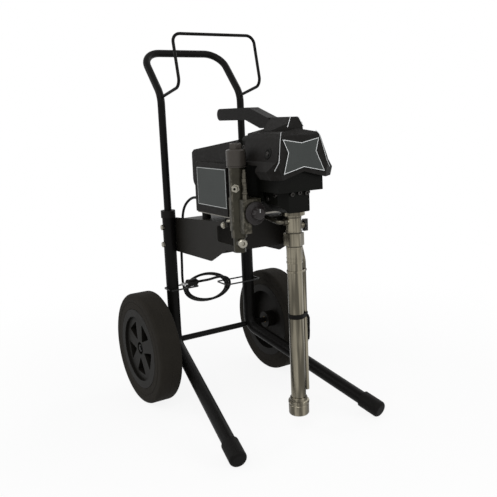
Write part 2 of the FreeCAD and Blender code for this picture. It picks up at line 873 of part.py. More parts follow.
def symmetric_prism_xy(half_outline, z_low, z_high):
    right = [Vector(x, y, z_low) for x, y in half_outline]
    left = [Vector(-x, y, z_low) for x, y in reversed(half_outline)]
    points = right + left
    points.append(points[0])
    return Part.Face(Part.makePolygon(points)).extrude(Vector(0, 0, z_high - z_low))


def gear(teeth, module, width, centre, rear_y, phase):
    """Spur gear along -Y from rear_y, with one tooth centred on the phase angle."""
    pressure = math.radians(tooth_pressure_angle_deg)
    pitch_radius = teeth * module / 2.0
    base_radius = pitch_radius * math.cos(pressure)
    tip_radius = pitch_radius + 0.8 * module
    root_radius = pitch_radius - 1.05 * module
    half_tooth = math.pi / (2.0 * teeth) - tooth_backlash / (2.0 * pitch_radius)
    involute_at_pitch = math.tan(pressure) - pressure

    def flank_angle(radius):
        roll = math.acos(min(1.0, base_radius / max(radius, base_radius)))
        return half_tooth + involute_at_pitch - (math.tan(roll) - roll)

    flank_start = max(root_radius, base_radius)
    radii = [flank_start + (tip_radius - flank_start) * step / 3.0 for step in range(4)]
    points = []
    for tooth in range(teeth):
        middle = phase + 2.0 * math.pi * tooth / teeth
        outline = [(root_radius, -flank_angle(flank_start))]
        outline += [(radius, -flank_angle(radius)) for radius in radii]
        outline += [(radius, flank_angle(radius)) for radius in reversed(radii)]
        outline.append((root_radius, flank_angle(flank_start)))
        if root_radius >= base_radius:
            outline = outline[1:-1]
        for radius, turn in outline:
            x = centre[0] + radius * math.cos(middle + turn)
            z = centre[1] + radius * math.sin(middle + turn)
            points.append(Vector(x, rear_y, z))
    points.append(points[0])
    return Part.Face(Part.makePolygon(points)).extrude(Vector(0, -width, 0))


def gear_layout():
    """Centres and tooth phases of the two gear stages, in the x-z plane."""
    first_distance = (pinion_teeth + reduction_gear_teeth) * first_module / 2.0
    second_distance = (reduction_pinion_teeth + crank_gear_teeth) * second_module / 2.0
    span = crank_axis_z - motor_axis_z
    along = (first_distance ** 2 - second_distance ** 2 + span ** 2) / (2.0 * span)
    aside = math.sqrt(first_distance ** 2 - along ** 2)
    motor = (0.0, motor_axis_z)
    middle = (aside, motor_axis_z + along)
    crank = (0.0, crank_axis_z)
    first_line = math.atan2(along, aside)
    second_line = math.atan2(crank[1] - middle[1], crank[0] - middle[0])
    phases = {
        "pinion": first_line,
        "reduction_gear": first_line + math.pi - math.pi / reduction_gear_teeth,
        "reduction_pinion": second_line,
        "crank_gear": second_line + math.pi - math.pi / crank_gear_teeth,
    }
    return motor, middle, crank, phases


# Places along Y of the gear train, from the housing's rear wall forwards
first_stage_y = housing_rear_y - housing_wall - gear_side_gap
second_stage_y = first_stage_y - pinion_width - gear_side_gap
reduction_front_y = second_stage_y - crank_gear_width - gear_side_gap
crank_wall_y = housing_front_y
crank_disc_y = crank_wall_y - nose_wall - gear_side_gap
crank_disc_front_y = crank_disc_y - crank_disc_thickness


def on_motor_axis(radius, length, rear_y):
    return cylinder(radius, length, (0, rear_y, motor_axis_z), (0, -1, 0))


def motor_can():
    """Magnet housing: steel can with a closed rear end that holds the rear bearing."""
    length = motor_rear_y - housing_rear_y
    body = on_motor_axis(motor_radius, length, motor_rear_y)
    inside = on_motor_axis(motor_radius - motor_wall, length, motor_rear_y - bearing_width - motor_wall)
    seat = on_motor_axis(bearing_outer_radius, length, motor_rear_y)
    return body.cut(inside).cut(seat)


def motor_magnets():
    """Two arc magnets glued inside the can."""
    outer = motor_radius - motor_wall
    start = motor_rear_y - bearing_width - motor_wall - motor_end_gap
    length = start - housing_rear_y - motor_end_gap
    shell = ring(outer, outer - magnet_thickness, length, (0, start, motor_axis_z), (0, -1, 0))
    gap_low = (-outer, start - length, motor_axis_z - magnet_thickness)
    return shell.cut(box(gap_low, (outer, start, motor_axis_z + magnet_thickness)))


def motor_armature():
    """Shaft with the core and windings, and the pinion cut on its front end."""
    motor, middle, crank, phases = gear_layout()
    pinion = gear(pinion_teeth, first_module, pinion_width, motor, first_stage_y, phases["pinion"])
    shaft_start = fan_y + motor_shaft_radius
    shaft_end = first_stage_y - pinion_width / 2.0
    shaft = on_motor_axis(motor_shaft_radius, shaft_start - shaft_end, shaft_start)
    core_start = motor_rear_y - bearing_width - motor_wall - armature_end_gap
    core_length = core_start - housing_rear_y - armature_end_gap
    core = on_motor_axis(armature_radius, core_length, core_start)
    return shaft.fuse([core, pinion]).removeSplitter()


def motor_fan():
    """Radial fan on the rear shaft end."""
    hub = on_motor_axis(fan_hub_radius, fan_width, fan_y)
    plate = on_motor_axis(fan_radius, fan_plate, fan_y - fan_width + fan_plate)
    fan = hub.fuse(plate)
    half = fan_plate / 2.0
    for number in range(fan_blade_count):
        blade = box((fan_hub_radius - half, fan_y - fan_width, -half), (fan_radius, fan_y, half))
        blade.rotate(Vector(0, 0, 0), Vector(0, 1, 0), 360.0 * number / fan_blade_count)
        blade.translate(Vector(0, 0, motor_axis_z))
        fan = fan.fuse(blade)
    return fan.cut(on_motor_axis(motor_shaft_radius, fan_width, fan_y)).removeSplitter()


def bearing(inner_radius, outer_radius, width, centre, rear_y):
    return ring(outer_radius, inner_radius + running_clearance, width, (centre[0], rear_y, centre[1]), (0, -1, 0))


def shaft_bearings():
    """Bearings of the motor shaft, the reduction gear and the crankshaft."""
    motor, middle, crank, phases = gear_layout()
    rear = bearing(motor_shaft_radius, bearing_outer_radius, bearing_width, motor, motor_rear_y)
    front = bearing(motor_shaft_radius, bearing_outer_radius, housing_wall, motor, housing_rear_y)
    crank_front = bearing(crank_shaft_radius, crank_bearing_radius, nose_wall, crank, crank_wall_y)
    return Part.makeCompound([rear, front, crank_front])


def reduction_gear():
    """Compound gear that turns on a fixed pin in the drive housing."""
    motor, middle, crank, phases = gear_layout()
    large = gear(reduction_gear_teeth, first_module, pinion_width, middle, first_stage_y, phases["reduction_gear"])
    small_length = pinion_width + gear_side_gap + crank_gear_width
    small = gear(reduction_pinion_teeth, second_module, small_length, middle, first_stage_y, phases["reduction_pinion"])
    pin = cylinder(reduction_pin_radius + running_clearance, small_length, (middle[0], first_stage_y, middle[1]), (0, -1, 0))
    return large.fuse(small).cut(pin).removeSplitter()


def crank_gear():
    """Crank gear, shaft, crank disc and pin; the pin ends just short of the connecting rod."""
    motor, middle, crank, phases = gear_layout()
    wheel = gear(crank_gear_teeth, second_module, crank_gear_width, crank, second_stage_y, phases["crank_gear"])
    shaft = cylinder(crank_shaft_radius, second_stage_y - crank_disc_y, (0, second_stage_y, crank_axis_z), (0, -1, 0))
    disc = cylinder(crank_disc_radius, crank_disc_thickness, (0, crank_disc_y, crank_axis_z), (0, -1, 0))
    pin_z = crank_axis_z - crank_throw
    pin_end = rod_axis_y + rod_half_thickness + crank_pin_gap
    pin = cylinder(crank_pin_radius, crank_disc_front_y - pin_end, (0, crank_disc_front_y, pin_z), (0, -1, 0))
    return wheel.fuse([shaft, disc, pin]).removeSplitter()


def housing_block(gap):
    """The gear housing's outer form, grown by the gap."""
    low = (-housing_half_width - gap, housing_front_y, housing_bottom_z - gap)
    block = box(low, (housing_half_width + gap, housing_rear_y, housing_top_z + gap))
    edges_along_y = []
    for edge in block.Edges:
        if abs(edge.tangentAt(edge.FirstParameter).y) > 0.9:
            edges_along_y.append(edge)
    return block.makeFillet(housing_corner_round, edges_along_y)


def drive_housing():
    """Gearbox casting: rear wall with the motor seat, open towards the front housing."""
    motor, middle, crank, phases = gear_layout()
    wall = housing_wall
    inside = box(
        (wall - housing_half_width, housing_front_y, housing_bottom_z + wall),
        (housing_half_width - wall, housing_rear_y - wall, housing_top_z - wall),
    )
    inside = inside.common(housing_block(-wall))
    seat = on_motor_axis(bearing_outer_radius, wall, housing_rear_y)
    pin_length = wall + gear_side_gap + pinion_width + gear_side_gap + crank_gear_width
    pin = cylinder(reduction_pin_radius, pin_length, (middle[0], housing_rear_y, middle[1]), (0, -1, 0))
    return housing_block(0.0).cut(inside).cut(seat).fuse(pin).removeSplitter()


def nose_top_outline(inset):
    """Right half of the front housing above its shoulder, seen from the front."""
    return [
        (0.0, housing_top_z - inset),
        (nose_top_half_width - inset, housing_top_z - inset),
        (nose_half_width - inset, housing_top_z - nose_top_slope - inset),
        (nose_half_width - inset, nose_shoulder_z + inset),
        (0.0, nose_shoulder_z + inset),
    ]


def nose_form(gap):
    """The front housing's outer form, grown by the gap: wide above the shoulder, narrow below."""
    side_view = [
        (housing_front_y, housing_top_z + gap),
        (nose_front_y + nose_top_setback - gap, housing_top_z + gap),
        (nose_front_y - gap, nose_shoulder_z + nose_low_face_setback),
        (nose_front_y - gap, nose_shoulder_z - gap),
        (housing_front_y, nose_shoulder_z - gap),
    ]
    top = symmetric_prism_xz(nose_top_outline(-gap), nose_front_y - gap, housing_front_y)
    top = top.common(prism_yz(side_view, -2.0 * nose_half_width, 2.0 * nose_half_width))
    low_outline = [
        (0.0, nose_shoulder_z + 1.0),
        (nose_low_half_width + gap, nose_shoulder_z + 1.0),
        (nose_low_half_width + gap, nose_bottom_z + nose_low_slope - gap),
        (nose_bottom_half_width + gap, nose_bottom_z - gap),
        (0.0, nose_bottom_z - gap),
    ]
    face_y = nose_front_y + nose_low_face_setback - gap
    low_plan = [
        (nose_low_face_half_width + gap, face_y),
        (nose_low_half_width + gap, face_y + nose_low_corner_depth),
        (nose_low_half_width + gap, housing_front_y),
    ]
    low = symmetric_prism_xz(low_outline, face_y, housing_front_y)
    low = low.common(symmetric_prism_xy(low_plan, nose_bottom_z - gap, nose_shoulder_z + 1.0))
    return top.fuse(low).removeSplitter()


def front_housing():
    """Bearing housing: carries the crankshaft bearing and clamps the pump."""
    room_half_width = crank_disc_radius + nose_room
    room_front_y = rod_axis_y - rod_half_thickness - nose_room / 2.0
    room_low = (-room_half_width, room_front_y, nose_bottom_z + pump_socket_depth + face_gap)
    room = box(room_low, (room_half_width, crank_wall_y - nose_wall, housing_top_z - nose_wall))
    seat = cylinder(crank_bearing_radius, nose_wall, (0, crank_wall_y, crank_axis_z), (0, -1, 0))
    socket = cylinder(pump_cylinder_radius, pump_socket_depth, (0, rod_axis_y, nose_bottom_z), (0, 0, 1))
    passage_radius = piston_rod_radius + rod_foot_clearance
    passage = cylinder(passage_radius, piston_rod_top_z - nose_bottom_z, (0, rod_axis_y, nose_bottom_z), (0, 0, 1))
    return nose_form(0.0).cut(room).cut(seat).cut(socket).cut(passage)


def motor_base():
    """Cast base plate with two saddles under the motor can."""
    low = (-base_half_width, housing_rear_y + housing_rear_gap, base_top_z - base_thickness)
    plate = box(low, (base_half_width, base_rear_y, base_top_z))
    rear_saddle_y = motor_rear_y - saddle_inset - saddle_length
    for y in (rear_saddle_y, housing_rear_y + saddle_inset):
        block_low = (-saddle_half_width, y, base_top_z - 1.0)
        block = box(block_low, (saddle_half_width, y + saddle_length, motor_axis_z))
        plate = plate.fuse(block)
    can = on_motor_axis(motor_radius + face_gap, 2.0 * motor_length, motor_rear_y + motor_length / 2.0)
    return plate.cut(can).removeSplitter()


def rubber_mounts():
    """Four rubber blocks between the base plate and the sloping bracket top."""
    top_z = base_top_z - base_thickness
    bottom_z = top_z - rubber_mount_height
    below = [
        (bracket_rear_y, bracket_top_z(bracket_rear_y)),
        (bracket_front_y, bracket_top_z(bracket_front_y)),
        (bracket_front_y, bottom_z - 1.0),
        (bracket_rear_y, bottom_z - 1.0),
    ]
    bracket_space = prism_yz(below, -leg_spacing, leg_spacing)
    solids = []
    for y in rubber_mount_ys:
        base = (rubber_mount_x, y, bottom_z)
        mount = cylinder(rubber_mount_radius, rubber_mount_height, base, (0, 0, 1)).cut(bracket_space)
        solids += [mount.Solids[0], mirrored(mount.Solids[0])]
    return Part.makeCompound(solids)


def shroud_form(inset):
    """Outer form of the motor shroud, shrunk by the inset."""
    low_z = base_top_z + face_gap
    high_z = shroud_front_top_z + shroud_rear_drop
    front_view = [
        (0.0, high_z),
        (shroud_top_half_width - inset, high_z),
        (shroud_half_width - inset, shroud_widest_z),
        (shroud_bottom_half_width - inset, low_z),
        (0.0, low_z),
    ]
    front_prism = symmetric_prism_xz(front_view, shroud_front_y, shroud_rear_y)
    rear_y = shroud_rear_y - inset
    side_view = [(shroud_front_y + inset, low_z), (shroud_front_y + inset, shroud_front_top_z - inset)]
    for setback, height in shroud_rear_profile:
        side_view.append((rear_y - setback, low_z + height * (shroud_rear_top_z - inset - low_z)))
    plan_view = [(shroud_half_width, shroud_front_y)]
    for setback, narrowing in shroud_rear_plan:
        plan_view.append((shroud_half_width - narrowing, rear_y - setback))
    return intersection([
        front_prism,
        prism_yz(side_view, -shroud_half_width, shroud_half_width),
        symmetric_prism_xy(plan_view, low_z - 1.0, high_z),
    ])


def motor_shroud():
    """Plastic shell slid over the motor from behind, open below, with vent slots at the rear."""
    inner = shroud_form(shell_wall)
    inner_low = inner.copy()
    inner_low.translate(Vector(0, 0, -shell_wall))
    can = on_motor_axis(motor_radius + face_gap, motor_length / 2.0, shroud_front_y + motor_length / 4.0)
    shell = shroud_form(0.0).cut(inner).cut(inner_low).cut(can)
    half = vent_slot_width / 2.0
    slot_low_z = motor_axis_z - vent_slot_width * 6.0
    slot_high_z = motor_axis_z + vent_slot_width * 5.6
    for number in range(vent_slot_count):
        x = (number - (vent_slot_count - 1) / 2.0) * vent_slot_pitch
        slot_low = (x - half, shroud_rear_y - vent_slot_depth, slot_low_z)
        shell = shell.cut(box(slot_low, (x + half, shroud_rear_y + 1.0, slot_high_z)))
    return shell


def cover_form(inset):
    """Outer form of the front cover, shrunk by the inset, without the hood."""
    front_view = [
        (0.0, cover_top_z - inset),
        (cover_shoulder_half_width - cover_shoulder_bevel - inset, cover_shoulder_z - inset),
        (cover_shoulder_half_width - inset, cover_shoulder_z - 2.0 * cover_shoulder_bevel),
        (cover_waist_half_width - inset, cover_waist_z),
        (cover_cheek_half_width - inset, cover_cheek_z),
        (cover_cheek_half_width - 2.0 * cover_shoulder_bevel - inset, cover_bottom_z + 1.0 - inset),
        (cover_face_half_width, cover_bottom_z - inset),
        (0.0, cover_bottom_z + cover_chin_rise - inset),
    ]
    front_prism = symmetric_prism_xz(front_view, cover_front_y, cover_rear_y)
    brow_z = cover_shoulder_z - cover_shoulder_bevel
    brow_y = cover_front_y + (brow_z - cover_bottom_z) * cover_front_slope
    step_y = cover_front_y + cover_step_depth
    side_view = [
        (cover_rear_y + inset, cover_top_z + 1.0),
        (cover_rear_y + inset, cover_rear_bottom_z - inset),
        (step_y + inset, cover_rear_bottom_z - inset),
        (cover_front_y + cover_cheek_depth + inset, cover_bottom_z - cover_shoulder_bevel),
        (cover_front_y + inset, cover_bottom_z - cover_shoulder_bevel),
        (brow_y + inset, brow_z),
        (brow_y + cover_chin_rise + inset, cover_top_z + 1.0),
    ]
    plan_view = [
        (cover_face_half_width - inset, cover_front_y),
        (cover_cheek_half_width - inset, cover_front_y + cover_chin_depth),
        (cover_cheek_half_width - inset, cover_front_y + cover_cheek_depth),
        (cover_rear_half_width - inset, cover_rear_y + inset),
    ]
    return intersection([
        front_prism,
        prism_yz(side_view, -cover_cheek_half_width, cover_cheek_half_width),
        symmetric_prism_xy(plan_view, cover_bottom_z - cover_chin_rise, cover_top_z + cover_chin_rise),
    ])


def front_cover():
    """Faceted plastic cover over the gear housing, with the hood that meets the carry handle."""
    hood_low_z = cover_top_z - hood_root
    hood_low_half_width = hood_half_width + hood_flare
    hood_view = [
        (handle_foot_front_y, hood_top_z),
        (hood_front_y, hood_top_z),
        (hood_front_y - hood_slope, cover_top_z - 1.0),
        (hood_front_y - hood_slope, hood_low_z),
        (handle_foot_front_y, hood_low_z),
    ]
    hood_front = [
        (0.0, hood_top_z),
        (hood_half_width, hood_top_z),
        (hood_low_half_width, cover_top_z - hood_root / 3.0),
        (hood_low_half_width, hood_low_z),
        (0.0, hood_low_z),
    ]
    hood = symmetric_prism_xz(hood_front, hood_front_y - hood_slope, handle_foot_front_y)
    hood = hood.common(prism_yz(hood_view, -hood_low_half_width, hood_low_half_width))
    hood_plan = [
        (hood_face_half_width, hood_front_y - hood_slope),
        (hood_low_half_width, hood_front_y + hood_side_reach),
        (hood_low_half_width, handle_foot_front_y),
    ]
    hood = hood.common(symmetric_prism_xy(hood_plan, hood_low_z, hood_top_z))
    shell = cover_form(0.0).fuse(hood).cut(cover_form(shell_wall))
    return shell.cut(housing_block(face_gap).fuse(nose_form(face_gap))).removeSplitter()


def carry_handle():
    """Handle bar that rises from the cover and ends free above the motor."""
    outline = [
        (handle_bar_rear_y, handle_bar_top_z),
        (handle_bend_top_y, handle_bar_top_z),
        (handle_arm_front_y, hood_top_z),
        (handle_foot_front_y, hood_top_z),
        (handle_foot_front_y, cover_top_z + face_gap),
        (handle_foot_rear_y, cover_top_z + face_gap),
        (handle_bend_bottom_y, handle_bar_bottom_z),
        (handle_bar_rear_y, handle_bar_bottom_z),
    ]
    points = [Vector(-handle_bar_half_width, y, z) for y, z in outline]
    end = handle_bar_height / 2.0 - face_gap
    radii = [end, handle_top_bend, handle_top_bend, 1.0, 1.0, handle_foot_round, handle_bottom_bend, end]
    return Part.Face(rounded_outline(points, radii)).extrude(Vector(2 * handle_bar_half_width, 0, 0))


def badge_plate():
    """Blank plate with hollow sides on the cover's sloping front."""
    outline = [(half_width, cover_bottom_z + height) for half_width, height in badge_outline]
    plate = symmetric_prism_xz(outline, cover_front_y - badge_thickness - 1.0, cover_front_y + cover_cheek_depth)
    rise = cover_top_z - cover_bottom_z
    drop = nose_shoulder_height
    slab = [
        (cover_front_y - drop * cover_front_slope, cover_bottom_z - drop),
        (cover_front_y + rise * cover_front_slope, cover_bottom_z + rise),
        (cover_front_y + rise * cover_front_slope - badge_thickness, cover_bottom_z + rise),
        (cover_front_y - drop * cover_front_slope - badge_thickness, cover_bottom_z - drop),
    ]
    return plate.common(prism_yz(slab, -cover_cheek_half_width, cover_cheek_half_width))


def box_section(outline, front_y, rear_y):
    """Prism along Y of an outline given as (x, z) pairs."""
    points = [Vector(x, front_y, z) for x, z in outline]
    points.append(points[0])
    return Part.Face(Part.makePolygon(points)).extrude(Vector(0, rear_y - front_y, 0))


def control_box():
    """Electronics box beside the motor, open towards the shroud."""
    outer = box_section([
        (-box_outer_x, box_bottom_z),
        (-box_outer_x, box_top_z),
        (-shroud_half_width - 1.0, box_top_z),
        (-shroud_half_width - 1.0, shroud_widest_z),
        (-shroud_bottom_half_width - 2.0, box_bottom_z),
    ], box_front_y, box_rear_y)
    wall = box_wall
    inside = box_section([
        (wall - box_outer_x, box_bottom_z + wall),
        (wall - box_outer_x, box_top_z - wall),
        (-shroud_bottom_half_width + 2.0, box_top_z - wall),
        (-shroud_bottom_half_width + 2.0, box_bottom_z + wall),
    ], box_front_y + wall, box_rear_y - wall)
    shell = outer.cut(inside)
    inset = board_margin + board_post_radius
    for y in (box_front_y + inset, box_rear_y - inset):
        for z in (box_bottom_z + inset, box_top_z - inset):
            base = (wall - box_outer_x - board_post_root, y, z)
            shell = shell.fuse(cylinder(board_post_radius, board_standoff, base, (1, 0, 0)))
    fit_half_width = switch_half_width + switch_gap
    fit_half_height = switch_half_height + switch_gap
    aperture = box(
        (-switch_x - fit_half_width, box_rear_y - wall, switch_z - fit_half_height),
        (-switch_x + fit_half_width, box_rear_y, switch_z + fit_half_height),
    )
    gland = cylinder(relief_radius - relief_neck_step, wall, (-cord_exit_x, box_rear_y, cord_exit_z), (0, -1, 0))
    return shell.cut(aperture).cut(gland).fuse(switch_frame()).removeSplitter()


def label_plate():
    low = (-box_outer_x - label_thickness, box_front_y + label_front_margin, box_bottom_z + label_bottom_margin)
    return box(low, (-box_outer_x, box_rear_y - label_rear_margin, box_top_z - label_top_margin))


def circuit_board():
    x = box_wall - box_outer_x - board_post_root + board_standoff
    low = (x, box_front_y + board_margin, box_bottom_z + board_margin)
    return box(low, (x + board_thickness, box_rear_y - board_margin, box_top_z - board_margin))


def power_switch():
    """Rocker with its pivot pins, tilted to off."""
    bevel = switch_bevel
    outline = [
        (box_rear_y + bevel, switch_z + switch_half_height - bevel),
        (box_rear_y + bevel / 3.0, switch_z),
        (box_rear_y + bevel, switch_z - switch_half_height + bevel),
        (box_rear_y - 2.0 * bevel, switch_z - switch_half_height + 2.0 * bevel),
        (box_rear_y - switch_depth, switch_z),
        (box_rear_y - 2.0 * bevel, switch_z + switch_half_height - 2.0 * bevel),
    ]
    rocker = prism_yz(outline, -switch_x - switch_half_width, -switch_x + switch_half_width)
    pivot = Vector(-switch_x, box_rear_y - switch_pin_depth, switch_z)
    pin_length = 2.0 * (switch_half_width + switch_pin_overhang)
    base = (-switch_x - pin_length / 2.0, pivot.y, switch_z)
    rocker = rocker.fuse(cylinder(switch_pin_radius, pin_length, base, (1, 0, 0))).removeSplitter()
    rocker.rotate(pivot, Vector(1, 0, 0), switch_tilt_deg)
    return rocker


def switch_frame():
    """Frame behind the box's rear wall that holds the rocker's pivot pins."""
    gap = switch_gap
    border = switch_gap + switch_frame_wall
    rear_y = box_rear_y - box_wall
    front_y = rear_y - switch_frame_depth
    outer = box(
        (-switch_x - switch_half_width - border, front_y, switch_z - switch_half_height - border),
        (-switch_x + switch_half_width + border, rear_y, switch_z + switch_half_height + border),
    )
    inner = box(
        (-switch_x - switch_half_width - gap, front_y, switch_z - switch_half_height - gap),
        (-switch_x + switch_half_width + gap, rear_y, switch_z + switch_half_height + gap),
    )
    hole_length = 4.0 * switch_half_width
    base = (-switch_x - hole_length / 2.0, box_rear_y - switch_pin_depth, switch_z)
    holes = cylinder(switch_pin_radius + running_clearance, hole_length, base, (1, 0, 0))
    return outer.cut(inner).cut(holes)


def strain_relief():
    """Tapered rubber sleeve where the mains cord leaves the box."""
    base = Vector(-cord_exit_x, box_rear_y, cord_exit_z)
    sleeve = Part.makeCone(relief_radius, relief_radius - relief_taper, relief_length, base, Vector(0, 1, 0))
    neck = cylinder(relief_radius - relief_neck_step, box_wall, tuple(base), (0, -1, 0))
    return sleeve.fuse(neck).removeSplitter()


def drive_nodes():
    """Pieces of the motor, the gear train, the castings and their covers."""
    return {
        "motor_base": motor_base(),
        "rubber_mounts": rubber_mounts(),
        "motor_can": motor_can(),
        "motor_magnets": motor_magnets(),
        "motor_armature": motor_armature(),
        "motor_fan": motor_fan(),
        "shaft_bearings": shaft_bearings(),
        "reduction_gear": reduction_gear(),
        "crank_gear": crank_gear(),
        "drive_housing": drive_housing(),
        "front_housing": front_housing(),
        "motor_shroud": motor_shroud(),
        "front_cover": front_cover(),
        "carry_handle": carry_handle(),
        "control_box": control_box(),
        "blank_plates": Part.makeCompound([label_plate(), badge_plate()]),
        "circuit_board": circuit_board(),
        "power_switch": power_switch(),
        "strain_relief": strain_relief(),
    }


def along_rod(radius, low_z, high_z, x=0.0):
    return cylinder(radius, high_z - low_z, (x, rod_axis_y, low_z), (0, 0, 1))


def pump_cylinder():
    """Upper pump body with its outlet and relief bosses."""
    top_z = nose_bottom_z + pump_socket_depth - face_gap
    body = along_rod(pump_cylinder_radius, pump_cylinder_bottom_z, top_z)
    for side, height in ((-1.0, outlet_port_z), (1.0, relief_port_z)):
        boss = cylinder(port_boss_radius, port_boss_x, (0, rod_axis_y, height), (side, 0, 0))
        port = cylinder(hose_bore_radius, port_boss_x, (0, rod_axis_y, height), (side, 0, 0))
        body = body.fuse(boss).cut(port)
    return body.cut(along_rod(pump_bore_radius, pump_cylinder_bottom_z, top_z)).removeSplitter()


def pump_nuts():
    """Round lock nut under the front housing and the hexagonal coupling nut."""
    fit = pump_cylinder_radius + running_clearance
    lock_low = nose_bottom_z - face_gap - flange_height
    lock = along_rod(flange_radius, lock_low, nose_bottom_z - face_gap).cut(along_rod(fit, lock_low, nose_bottom_z))
    height = coupling_nut_high_z - coupling_nut_low_z
    coupling = hexagon(coupling_nut_across_flats, height, (0, 0, 0), (0, 0, 1))
    coupling.rotate(Vector(0, 0, 0), Vector(0, 0, 1), 30.0)
    coupling.translate(Vector(0, rod_axis_y, coupling_nut_low_z))
    coupling = coupling.cut(along_rod(fit, coupling_nut_low_z, coupling_nut_high_z))
    return Part.makeCompound([lock, coupling])


def pump_packings():
    high_z = packing_bottom_z + packing_height
    outer = along_rod(pump_bore_radius, packing_bottom_z, high_z)
    return outer.cut(along_rod(piston_rod_radius + running_clearance, packing_bottom_z, high_z))


def piston_rod():
    """Rod with its piston head, hollow for the outlet ball."""
    piston_top_z = piston_bottom_z + piston_height
    head = along_rod(pump_bore_radius - running_clearance, piston_bottom_z, piston_top_z)
    rod = along_rod(piston_rod_radius, piston_bottom_z, piston_rod_top_z)
    seat_z = piston_bottom_z + piston_seat_height
    chamber_top_z = seat_z + 2.0 * piston_ball_radius + piston_ball_lift + 1.0
    chamber = along_rod(piston_ball_radius + piston_ball_room, seat_z, chamber_top_z)
    inlet = along_rod(piston_seat_radius, piston_bottom_z, seat_z)
    outlet = along_rod(piston_seat_radius, chamber_top_z, chamber_top_z + 6.0)
    cross_z = chamber_top_z + 3.0
    cross = cylinder(piston_seat_radius - 1.0, 20.0, (-10.0, rod_axis_y, cross_z), (1, 0, 0))
    return head.fuse(rod).cut(chamber).cut(inlet).cut(outlet).cut(cross).removeSplitter()


def ball_on_seat(ball_radius, seat_radius, seat_z):
    height = math.sqrt(ball_radius ** 2 - seat_radius ** 2) + running_clearance
    return Part.makeSphere(ball_radius, Vector(0, rod_axis_y, seat_z + height))


def connecting_rod():
    """Rod from the crank pin to the piston rod."""
    pin_z = crank_axis_z - crank_throw
    y = rod_axis_y + rod_half_thickness
    big_end = cylinder(rod_big_end_radius, 2.0 * rod_half_thickness, (0, y, pin_z), (0, -1, 0))
    half = rod_shank_half_width
    foot_bottom_z = piston_rod_top_z - rod_foot_height / 2.0
    shank = box((-half, rod_axis_y - half, piston_rod_top_z), (half, rod_axis_y + half, pin_z))
    foot = along_rod(rod_foot_radius, foot_bottom_z, foot_bottom_z + rod_foot_height)
    rod = big_end.fuse([shank, foot])
    rod = rod.cut(cylinder(crank_pin_radius + face_gap, 40.0, (0, y + 1.0, pin_z), (0, -1, 0)))
    return rod.cut(along_rod(piston_rod_radius, foot_bottom_z, piston_rod_top_z)).removeSplitter()


def foot_valve_housing():
    """Lower pump body with the intake ball's seat and the spigot for the suction tube."""
    neck = along_rod(pump_cylinder_radius - 1.0, foot_valve_top_z, pump_cylinder_bottom_z - face_gap)
    body = along_rod(foot_valve_radius, foot_valve_bottom_z, foot_valve_top_z)
    spigot_radius = suction_tube_radius - suction_tube_wall - running_clearance
    spigot_low = foot_valve_bottom_z - foot_spigot_length
    spigot = along_rod(spigot_radius, spigot_low, foot_valve_bottom_z)
    chamber_top_z = intake_seat_z + 2.0 * intake_ball_radius + intake_ball_lift
    chamber = along_rod(intake_ball_radius + intake_ball_room, intake_seat_z, chamber_top_z)
    seat = along_rod(intake_seat_radius, spigot_low, intake_seat_z)
    passage = along_rod(intake_seat_radius, chamber_top_z, pump_cylinder_bottom_z)
    return neck.fuse([body, spigot]).cut(chamber).cut(seat).cut(passage).removeSplitter()


def suction_tube():
    outer = along_rod(suction_tube_radius, suction_tube_bottom_z, foot_valve_bottom_z)
    return outer.cut(along_rod(suction_tube_radius - suction_tube_wall, suction_tube_bottom_z, foot_valve_bottom_z))


def inlet_strainer():
    """Slotted cup pushed on the suction tube's end."""
    cup = along_rod(strainer_radius, strainer_bottom_z, strainer_top_z)
    collar_part = along_rod(strainer_collar_radius, strainer_top_z, strainer_collar_top_z)
    cavity_low = strainer_bottom_z + strainer_wall
    cavity = along_rod(strainer_radius - strainer_wall, cavity_low, strainer_top_z - strainer_wall)
    socket = along_rod(suction_tube_radius, suction_tube_bottom_z, strainer_collar_top_z)
    way = along_rod(suction_tube_radius - suction_tube_wall, cavity_low, strainer_collar_top_z)
    strainer = cup.fuse(collar_part).cut(cavity).cut(socket).cut(way)
    for number in range(strainer_slot_count // 2):
        half = strainer_slot_width / 2.0
        slot = box((-strainer_radius, -half, cavity_low + 3.0), (strainer_radius, half, strainer_top_z - 9.0))
        slot.rotate(Vector(0, 0, 0), Vector(0, 0, 1), 360.0 * number / strainer_slot_count)
        slot.translate(Vector(0, rod_axis_y, 0))
        strainer = strainer.cut(slot)
    return strainer.removeSplitter()


drain_x = suction_tube_radius + drain_tube_gap + drain_tube_radius


def drain_tube():
    """Return tube from the prime valve down beside the suction tube."""
    top_z = relief_port_z - valve_half_height
    path = tangent_wire([
        Vector(drain_top_x, drain_top_y, top_z),
        Vector(drain_top_x, drain_top_y, coupling_nut_low_z),
        Vector(drain_x, rod_axis_y, coupling_nut_low_z - drain_bend_drop),
        Vector(drain_x, rod_axis_y, drain_bottom_z),
    ], [drain_bend_radius] * 2)
    return tube(path, drain_tube_radius, drain_tube_wall)


def tube_clips():
    """Clips that tie the drain tube to the suction tube."""
    clips = []
    for low_z in clip_heights:
        high_z = low_z + clip_width
        around = along_rod(suction_tube_radius + clip_wall, low_z, high_z)
        around = around.fuse(along_rod(drain_tube_radius + clip_wall, low_z, high_z, drain_x))
        clip = around.cut(along_rod(suction_tube_radius, low_z, high_z))
        clips.append(clip.cut(along_rod(drain_tube_radius, low_z, high_z, drain_x)).removeSplitter())
    return Part.makeCompound(clips)


